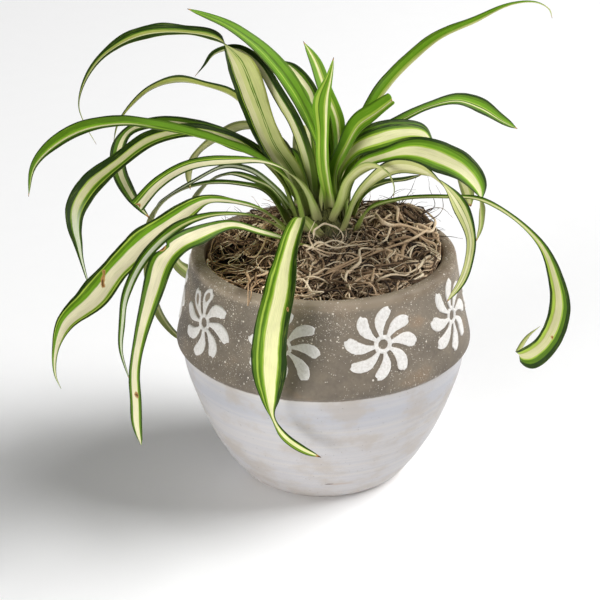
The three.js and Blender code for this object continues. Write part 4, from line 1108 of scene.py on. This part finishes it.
def hub(azimuth, seed):
    """The ring in the middle of a flower."""
    angle = circle(HUB_SIDES)
    wobble = 1 + 0.05 * value_noise(angle * 6, seed, 1.0)
    section = [(0.0, -0.6), (0.0, -0.1), (0.25, 0.8), (0.5, 1.0), (0.75, 0.8), (1.0, -0.1), (1.0, -0.6)]
    rings, edges = [], []
    for share, proud in section:
        out = (HUB_INSIDE + (HUB_OUTSIDE - HUB_INSIDE) * share) * wobble
        lift = proud * RELIEF if proud > 0 else proud
        rings.append(on_wall(out * np.cos(angle), out * np.sin(angle), lift, azimuth))
        edges.append(np.full(HUB_SIDES, 1.0 if proud <= 0 else 0.4))
    around = len(section)
    here = np.arange(around)
    after = (here + 1) % around
    last = (HUB_SIDES - 1) * around
    joined = np.stack([last + here, last + after, after, here], -1)
    quads = np.concatenate([ring_faces(HUB_SIDES, around), joined])
    return np.stack(rings, axis=1).reshape(-1, 3), quads, np.stack(edges, axis=1).ravel()


def pot_flowers():
    parts = []
    for flower in range(FLOWER_COUNT):
        azimuth = math.radians(FLOWER_START + 360 / FLOWER_COUNT * flower)
        for k in range(PETAL_COUNT):
            hollow = 1.0 if flower == HOLLOW_FLOWER and k in HOLLOW_PETALS else 0.0
            parts.append(petal(-2 * math.pi * k / PETAL_COUNT, azimuth, 100 * flower + k + 1, hollow))
        parts.append(hub(azimuth, 100 * flower + 50))
    dress(join_parts("pot_flowers", parts, "edge"), flower_material(), "pot")


# Soil, mat of dry roots and crown


def mat_height(x, y):
    """Top of the mat: it slopes up to the back right, with heaps and small lumps."""
    height = MAT_LOW + MAT_SLOPE * ((0.8 * x + 0.6 * y) / MAT_RADIUS)
    for top_x, top_y, spread_x, spread_y, tall in MAT_HEAPS:
        height = height + tall * np.exp(-(((x - top_x) / spread_x) ** 2) - ((y - top_y) / spread_y) ** 2)
    lumps = 1.1 * np.sin(x * 0.31 + 1) * np.cos(y * 0.27) + 0.8 * np.sin(x * 0.13 - y * 0.41)
    return height + lumps


def mat_height_at(x, y):
    return float(mat_height(np.array(x), np.array(y)))


def mat_edge(angle):
    return MAT_RADIUS + 1.1 * np.sin(5 * angle) + 0.4 * np.sin(11 * angle + 1)


def filled_dome(name, top, rings_below, middle, bottom):
    """Closed piece under a rough dome: its rings from the middle outwards, and those below its edge."""
    points = np.concatenate([top.reshape(-1, 3), *rings_below, [[0, 0, middle]], [[0, 0, bottom]]])
    return make_mesh(name, points, *closed_rings(len(top) + len(rings_below), top.shape[1], downward=True))


def soil_material():
    """Dark damp growing mix with bark crumbs."""
    graph = Graph("growing_mix")
    place = graph.place()
    distance, draws = graph.cells(place, 0.55)
    grain = graph.noise(place, 1.4, 4.0, 0.7)
    colour = graph.ramp(draws[0], [
        (0.0, (22, 17, 13)), (0.55, (38, 29, 22)), (0.85, (58, 43, 31)), (1.0, (88, 68, 50)),
    ])
    colour = graph.shade(colour, graph.scaled(grain, 1.1, 0.45))
    return graph.finish(colour, 0.92, 0.25, graph.bump(graph.minus(grain, distance), 1.2, 0.9))


def soil_piece():
    rings, sectors = 46, 150
    angle = circle(sectors)
    share = np.linspace(0, 1, rings + 1)[1:, None]
    x, y = SOIL_RADIUS * share * np.cos(angle), SOIL_RADIUS * share * np.sin(angle)
    crumbs = np.random.default_rng(41).uniform(-0.7, 0.7, x.shape) * (share < 0.99)
    z = SOIL_EDGE + (SOIL_TOP - SOIL_EDGE) * (1 - share**2) + crumbs
    below = [ring_points(radius, angle, height) for radius, height in SOIL_WALL]
    piece = filled_dome("growing_mix", np.stack([x, y, z], -1), below, SOIL_TOP, FLOOR + GAP)
    dress(piece, soil_material(), "potting_soil")


def core_material():
    """Dark threads between the roots; their darkness is partly the fibre's own and partly painted shade in
    the gaps of the mat.
    """
    graph = Graph("matted_fibre")
    threads = graph.noise(graph.stretch(graph.place(), z=0.6), 1.1, 4.0, 0.7)
    # Very dark tones: partly the fibre's colour, partly painted shade of the gaps between the strands.
    colour = graph.ramp(threads, [
        (0.32, (20, 15, 11)), (0.5, (36, 28, 20)), (0.62, (58, 45, 32)), (0.75, (92, 74, 54)),
    ])
    return graph.finish(colour, 0.95, 0.2, graph.bump(threads, 1.5, 1.0))


def mat_core():
    """Dark matted fibre that the strands lie on and dip into; its darkness is partly painted shade in the
    gaps between the strands.
    """
    rings, sectors = 60, 190
    angle = circle(sectors)
    share = np.linspace(0, 1, rings + 1)[1:, None] ** 0.8
    reach = share * (mat_edge(angle) + 0.4)
    x, y = reach * np.cos(angle), reach * np.sin(angle)
    rough = np.random.default_rng(53).uniform(-0.8, 0.8, x.shape)
    pits = np.sin(x * 0.45 + 2 * np.sin(y * 0.2)) * np.sin(y * 0.5 + 1.3 * np.sin(x * 0.23))
    z = mat_height(x, y) - 3.2 + rough + 1.2 * pits - 1.2 * smoothstep(share, 0.9, 1.0)
    base = SOIL_TOP + GAP
    below = np.stack([0.97 * x[-1], 0.97 * y[-1], np.full(sectors, base)], -1)
    piece = filled_dome("fibre_core", np.stack([x, y, z], -1), [below], mat_height_at(0.0, 0.0) - 3, base)
    dress(piece, core_material(), "fibre_mat")


def strand_tube(path, radii, sides):
    """Rings of points of a tube round a path."""
    tangents = unit(np.gradient(path, axis=0))
    across = unit(np.cross(tangents, np.array((0.31, 0.17, 0.94))))
    up = np.cross(tangents, across)
    angle = circle(sides)[None, :, None]
    ring = np.cos(angle) * across[:, None] + np.sin(angle) * up[:, None]
    return path[:, None] + radii[:, None, None] * ring


def strands_piece(name, strands, sides, material):
    """One piece from many strands, each a path with a radius at each point and a tone."""
    far_cap = np.array([[0, 1, 2, 3]] if sides == 4 else [[0, 1, 4, 5], [1, 2, 3, 4]])
    parts = []
    for path, radii, tone in strands:
        count = len(path)
        values = np.repeat(tone + 0.12 * value_noise(np.arange(count), int(tone * 997), 0.35), sides)
        quads = np.concatenate([ring_faces(count, sides), far_cap[:, ::-1], far_cap + (count - 1) * sides])
        parts.append((strand_tube(path, radii, sides).reshape(-1, 3), quads, values))
    dress(join_parts(name, parts, "tone"), material, "fibre_mat")


def root_material():
    """Dry root: colour by strand and along it, with fine bark-like grain; painted light lightens the strands
    at the left, which lie in the shade of the rim and leaves.
    """
    graph = Graph("dry_roots")
    place = graph.place()
    grain = graph.noise(place, 1.6, 4.0, 0.7)
    colour = graph.ramp(graph.swing(grain, 0.5, graph.value("tone")), ROOT_TONES)
    # Painted light: strands at the left are lightened, up to 2.3 times, where the rim and leaves shade them.
    colour = graph.shade(colour, graph.between(graph.split(place)[0], -40.0, 2.0, 2.3, 1.0))
    return graph.finish(colour, 0.8, 0.28, graph.bump(grain, 0.25, 0.7))


def inside_rim(x, y, limit):
    away = np.hypot(x, y)
    share = min(1.0, limit / max(away, 1e-6))
    return x * share, y * share, away > limit


def wandering_root(draw, centre, spread, length, swirl, high):
    """Path of a dry root over the mat: it wanders, arcs up and dips in again."""
    count = max(int(length / ROOT_STRIDE), 5)
    angle = draw.uniform(0, 2 * math.pi)
    away = spread * math.sqrt(draw.uniform(0.0, 1.0))
    x, y = centre[0] + away * math.cos(angle), centre[1] + away * math.sin(angle)
    x, y, _ = inside_rim(x, y, MAT_RADIUS)
    heading = draw.uniform(0, 2 * math.pi)
    if draw.uniform() < swirl:
        outwards = math.atan2(y - centre[1], x - centre[0])
        heading = outwards + math.pi / 2 * draw.choice((-1, 1)) + draw.normal(0, 0.35)
    bend = draw.normal(0, 0.09)
    bends = bend + 0.58 * value_noise(np.arange(count), int(draw.integers(1, 10**6)), 0.45)
    rise = draw.uniform(0.3, 1.0) * high
    hops = draw.uniform(0.6, 2.2)
    phase = draw.uniform(0, math.pi)
    depth = draw.uniform(-3.0, 0.4)
    path = []
    for i in range(count):
        x, y, out = inside_rim(x, y, MAT_RADIUS + 1)
        if out:
            outwards = math.atan2(y, x)
            heading = outwards + math.copysign(math.pi / 2, math.sin(heading - outwards)) * 1.15
        t = i / (count - 1)
        lift = depth + rise * abs(math.sin(phase + hops * math.pi * t))
        lift -= 2.2 * (1 - smoothstep(min(t, 1 - t), 0, 0.12))
        path.append((x, y, mat_height_at(x, y) + lift))
        heading += bends[i]
        x += ROOT_STRIDE * math.cos(heading)
        y += ROOT_STRIDE * math.sin(heading)
    return np.array(path)


def loose_root(draw, radius, tone, places):
    path = along_route(places, LOOSE_STEPS * (len(places) - 1))[:, :3]
    path = path + 0.35 * np.stack([value_noise(np.arange(len(path)), int(draw.integers(1, 10**6)), 0.3)
                                   for _ in range(3)], -1)
    return path, tapered(path, radius, draw), tone


def whisker(draw):
    """Short dry root that stands out of the mat at its back edge."""
    angle = math.radians(draw.uniform(5, 175))
    away = draw.uniform(40, 57)
    heading = angle + draw.normal(0, 0.9)
    climb = draw.uniform(0.3, 1.3)
    x, y = away * math.cos(angle), away * math.sin(angle)
    z = mat_height_at(x, y) - 2
    path = []
    for _ in range(WHISKER_STEPS):
        path.append((x, y, z))
        x += WHISKER_STRIDE * math.cos(heading)
        y += WHISKER_STRIDE * math.sin(heading)
        z += climb * WHISKER_STRIDE
        heading += draw.normal(0, 0.3)
        climb -= draw.uniform(0.0, 0.28)
    return np.array(path)


def collar_fibre(draw):
    """Dry fibre that stands up round the leaf bases and leans in to them."""
    angle = math.radians(draw.uniform(185, 355))
    out, z = draw.uniform(15, 23), draw.uniform(118, 124)
    climb = draw.uniform(1.0, 2.3)
    curl = draw.normal(0, 0.05)
    path = []
    for i in range(COLLAR_STEPS):
        path.append((CROWN_X + out * math.cos(angle), CROWN_Y + out * math.sin(angle), z))
        angle += curl + draw.normal(0, 0.05)
        out += draw.uniform(-0.9, 0.5)
        z += climb * (1 - 0.09 * i)
    return np.array(path)


def root_tone(draw, pale):
    """Most roots are dark; a share of them is pale."""
    if draw.uniform() < pale:
        return draw.uniform(0.66, 1.0)
    return draw.uniform(0.02, 0.5)


def tapered(path, radius, draw):
    t = np.linspace(0, 1, len(path))
    knots = 1 + 0.22 * value_noise(t * len(path), int(draw.integers(1, 10**6)), 0.5)
    return radius * knots * np.clip(1.15 - t, 0.3, 1) * np.clip(t * 8 + 0.4, 0.4, 1)


def root_mat():
    """All the dry roots, drawn one after the other from one seed."""
    draw = np.random.default_rng(9081)
    strands = {"fine": [], "stout": []}
    for count, kind, centre, spread, lengths, swirl, high, radii, pale, darkest in ROOT_GROUPS:
        for _ in range(count):
            path = wandering_root(draw, centre, spread, draw.uniform(*lengths), swirl, high)
            taper = tapered(path, draw.uniform(*radii), draw)
            strands[kind].append((path, taper, darkest + (1 - darkest) * root_tone(draw, pale)))
    fine = strands["fine"]
    for _ in range(WHISKERS):
        path = whisker(draw)
        fine.append((path, tapered(path, draw.uniform(0.18, 0.32), draw), draw.uniform(0.0, 0.6)))
    for _ in range(COLLAR_FIBRES):
        path = collar_fibre(draw)
        fine.append((path, tapered(path, draw.uniform(0.22, 0.5), draw), root_tone(draw, 0.55)))
    half = len(fine) // 2
    material = root_material()
    strands_piece("fine_roots_one", fine[:half], 4, material)
    strands_piece("fine_roots_two", fine[half:], 4, material)
    strands_piece("stout_roots", strands["stout"], 6, material)
    strands_piece("loose_roots", [loose_root(draw, *root) for root in LOOSE_ROOTS], 6, material)


def crown_material():
    """Dark brown below, partly the dry sheaths' own colour and partly painted shade among the leaf bases;
    green above, with fibres up them.
    """
    graph = Graph("crown_sheath")
    place = graph.place()
    fibres = graph.noise(graph.stretch(place, z=0.08), 1.2, 3.0, 0.6)
    grown = graph.between(graph.split(place)[2], 125.0, 141.0)
    # Dark brown low down: dry sheath colour, darkened as painted shade among the leaf bases.
    colour = graph.mix(grown, (58, 46, 33), (118, 120, 68))
    colour = graph.shade(colour, graph.between(fibres, 0.36, 0.62, 0.35, 1.2))
    return graph.finish(colour, 0.6, 0.3, graph.bump(fibres, 0.6, 0.8))


def crown_piece():
    """Short stub of sheathing leaf bases that the blades stand in."""
    middle = smooth_profile(CROWN_OUTSIDE[1:-1], 5)
    points, quads, fans = turned(np.concatenate([CROWN_OUTSIDE[:1], middle, CROWN_OUTSIDE[-1:]]), CROWN_SIDES)
    angle = np.arctan2(points[:, 1], points[:, 0])
    radius = np.hypot(points[:, 0], points[:, 1])
    ribs = 1 + 0.05 * np.sin(11 * angle + points[:, 2] * 0.12) + 0.03 * np.sin(23 * angle)
    points[:, :2] *= np.where(radius > 1, ribs, 1)[:, None]
    points[:, :2] += (CROWN_X, CROWN_Y)
    dress(make_mesh("crown_stub", points, quads, fans), crown_material(), "crown")


# Floor, light and camera


def floor():
    corners = [(x * FLOOR_REACH, y * FLOOR_REACH, 0) for x, y in ((-1, -1), (1, -1), (1, 1), (-1, 1))]
    piece = make_mesh("studio_floor", corners, [[0, 1, 2, 3]], smooth=False)
    graph = Graph("studio_paper")
    colour = graph.mix(graph.noise(graph.place(), 0.05, 2.0), (252, 252, 252), (254, 254, 254))
    piece.data.materials.append(graph.finish(colour, 0.9, 0.1))


def aim(thing, place, target):
    thing.location = place
    thing.rotation_euler = (target - Vector(place)).to_track_quat("-Z", "Y").to_euler()


def area_light(name, place, power, size):
    light = bpy.data.lights.new(name, "AREA")
    light.shape = "DISK"
    light.size = size
    light.energy = power
    aim(in_scene(name, light), place, LIGHT_TARGET)


def studio_light():
    world = bpy.data.worlds.new("studio")
    world.use_nodes = True
    inputs = world.node_tree.nodes["Background"].inputs
    inputs["Color"].default_value = (1.0, 1.0, 1.0, 1.0)
    inputs["Strength"].default_value = WORLD_LIGHT
    bpy.context.scene.world = world
    bpy.context.scene.view_settings.view_transform = "Standard"
    area_light("key", KEY_PLACE, KEY_POWER, KEY_SIZE)
    area_light("front", FRONT_PLACE, FRONT_POWER, FRONT_SIZE)


def photo_camera():
    camera = bpy.data.cameras.new("camera")
    camera.lens = CAMERA_LENS
    camera.sensor_width = SENSOR
    camera.shift_x, camera.shift_y = CAMERA_SHIFT
    camera.clip_end = CAMERA_REACH
    seat = in_scene("camera", camera)
    tilt = math.radians(CAMERA_ELEVATION)
    offset = Vector((0.0, -math.cos(tilt), math.sin(tilt))) * CAMERA_DISTANCE
    seat.location = CAMERA_TARGET + offset
    seat.rotation_euler = (-offset).to_track_quat("-Z", "Y").to_euler()
    bpy.context.scene.camera = seat


photo_camera()
studio_light()
floor()
pot_wall()
pot_flowers()
soil_piece()
mat_core()
root_mat()
crown_piece()
plant = grow_leaves()
bend_apart(plant)
for number, leaf in enumerate(plant):
    leaf_piece(leaf, number + 1)

bpy.context.view_layer.update()
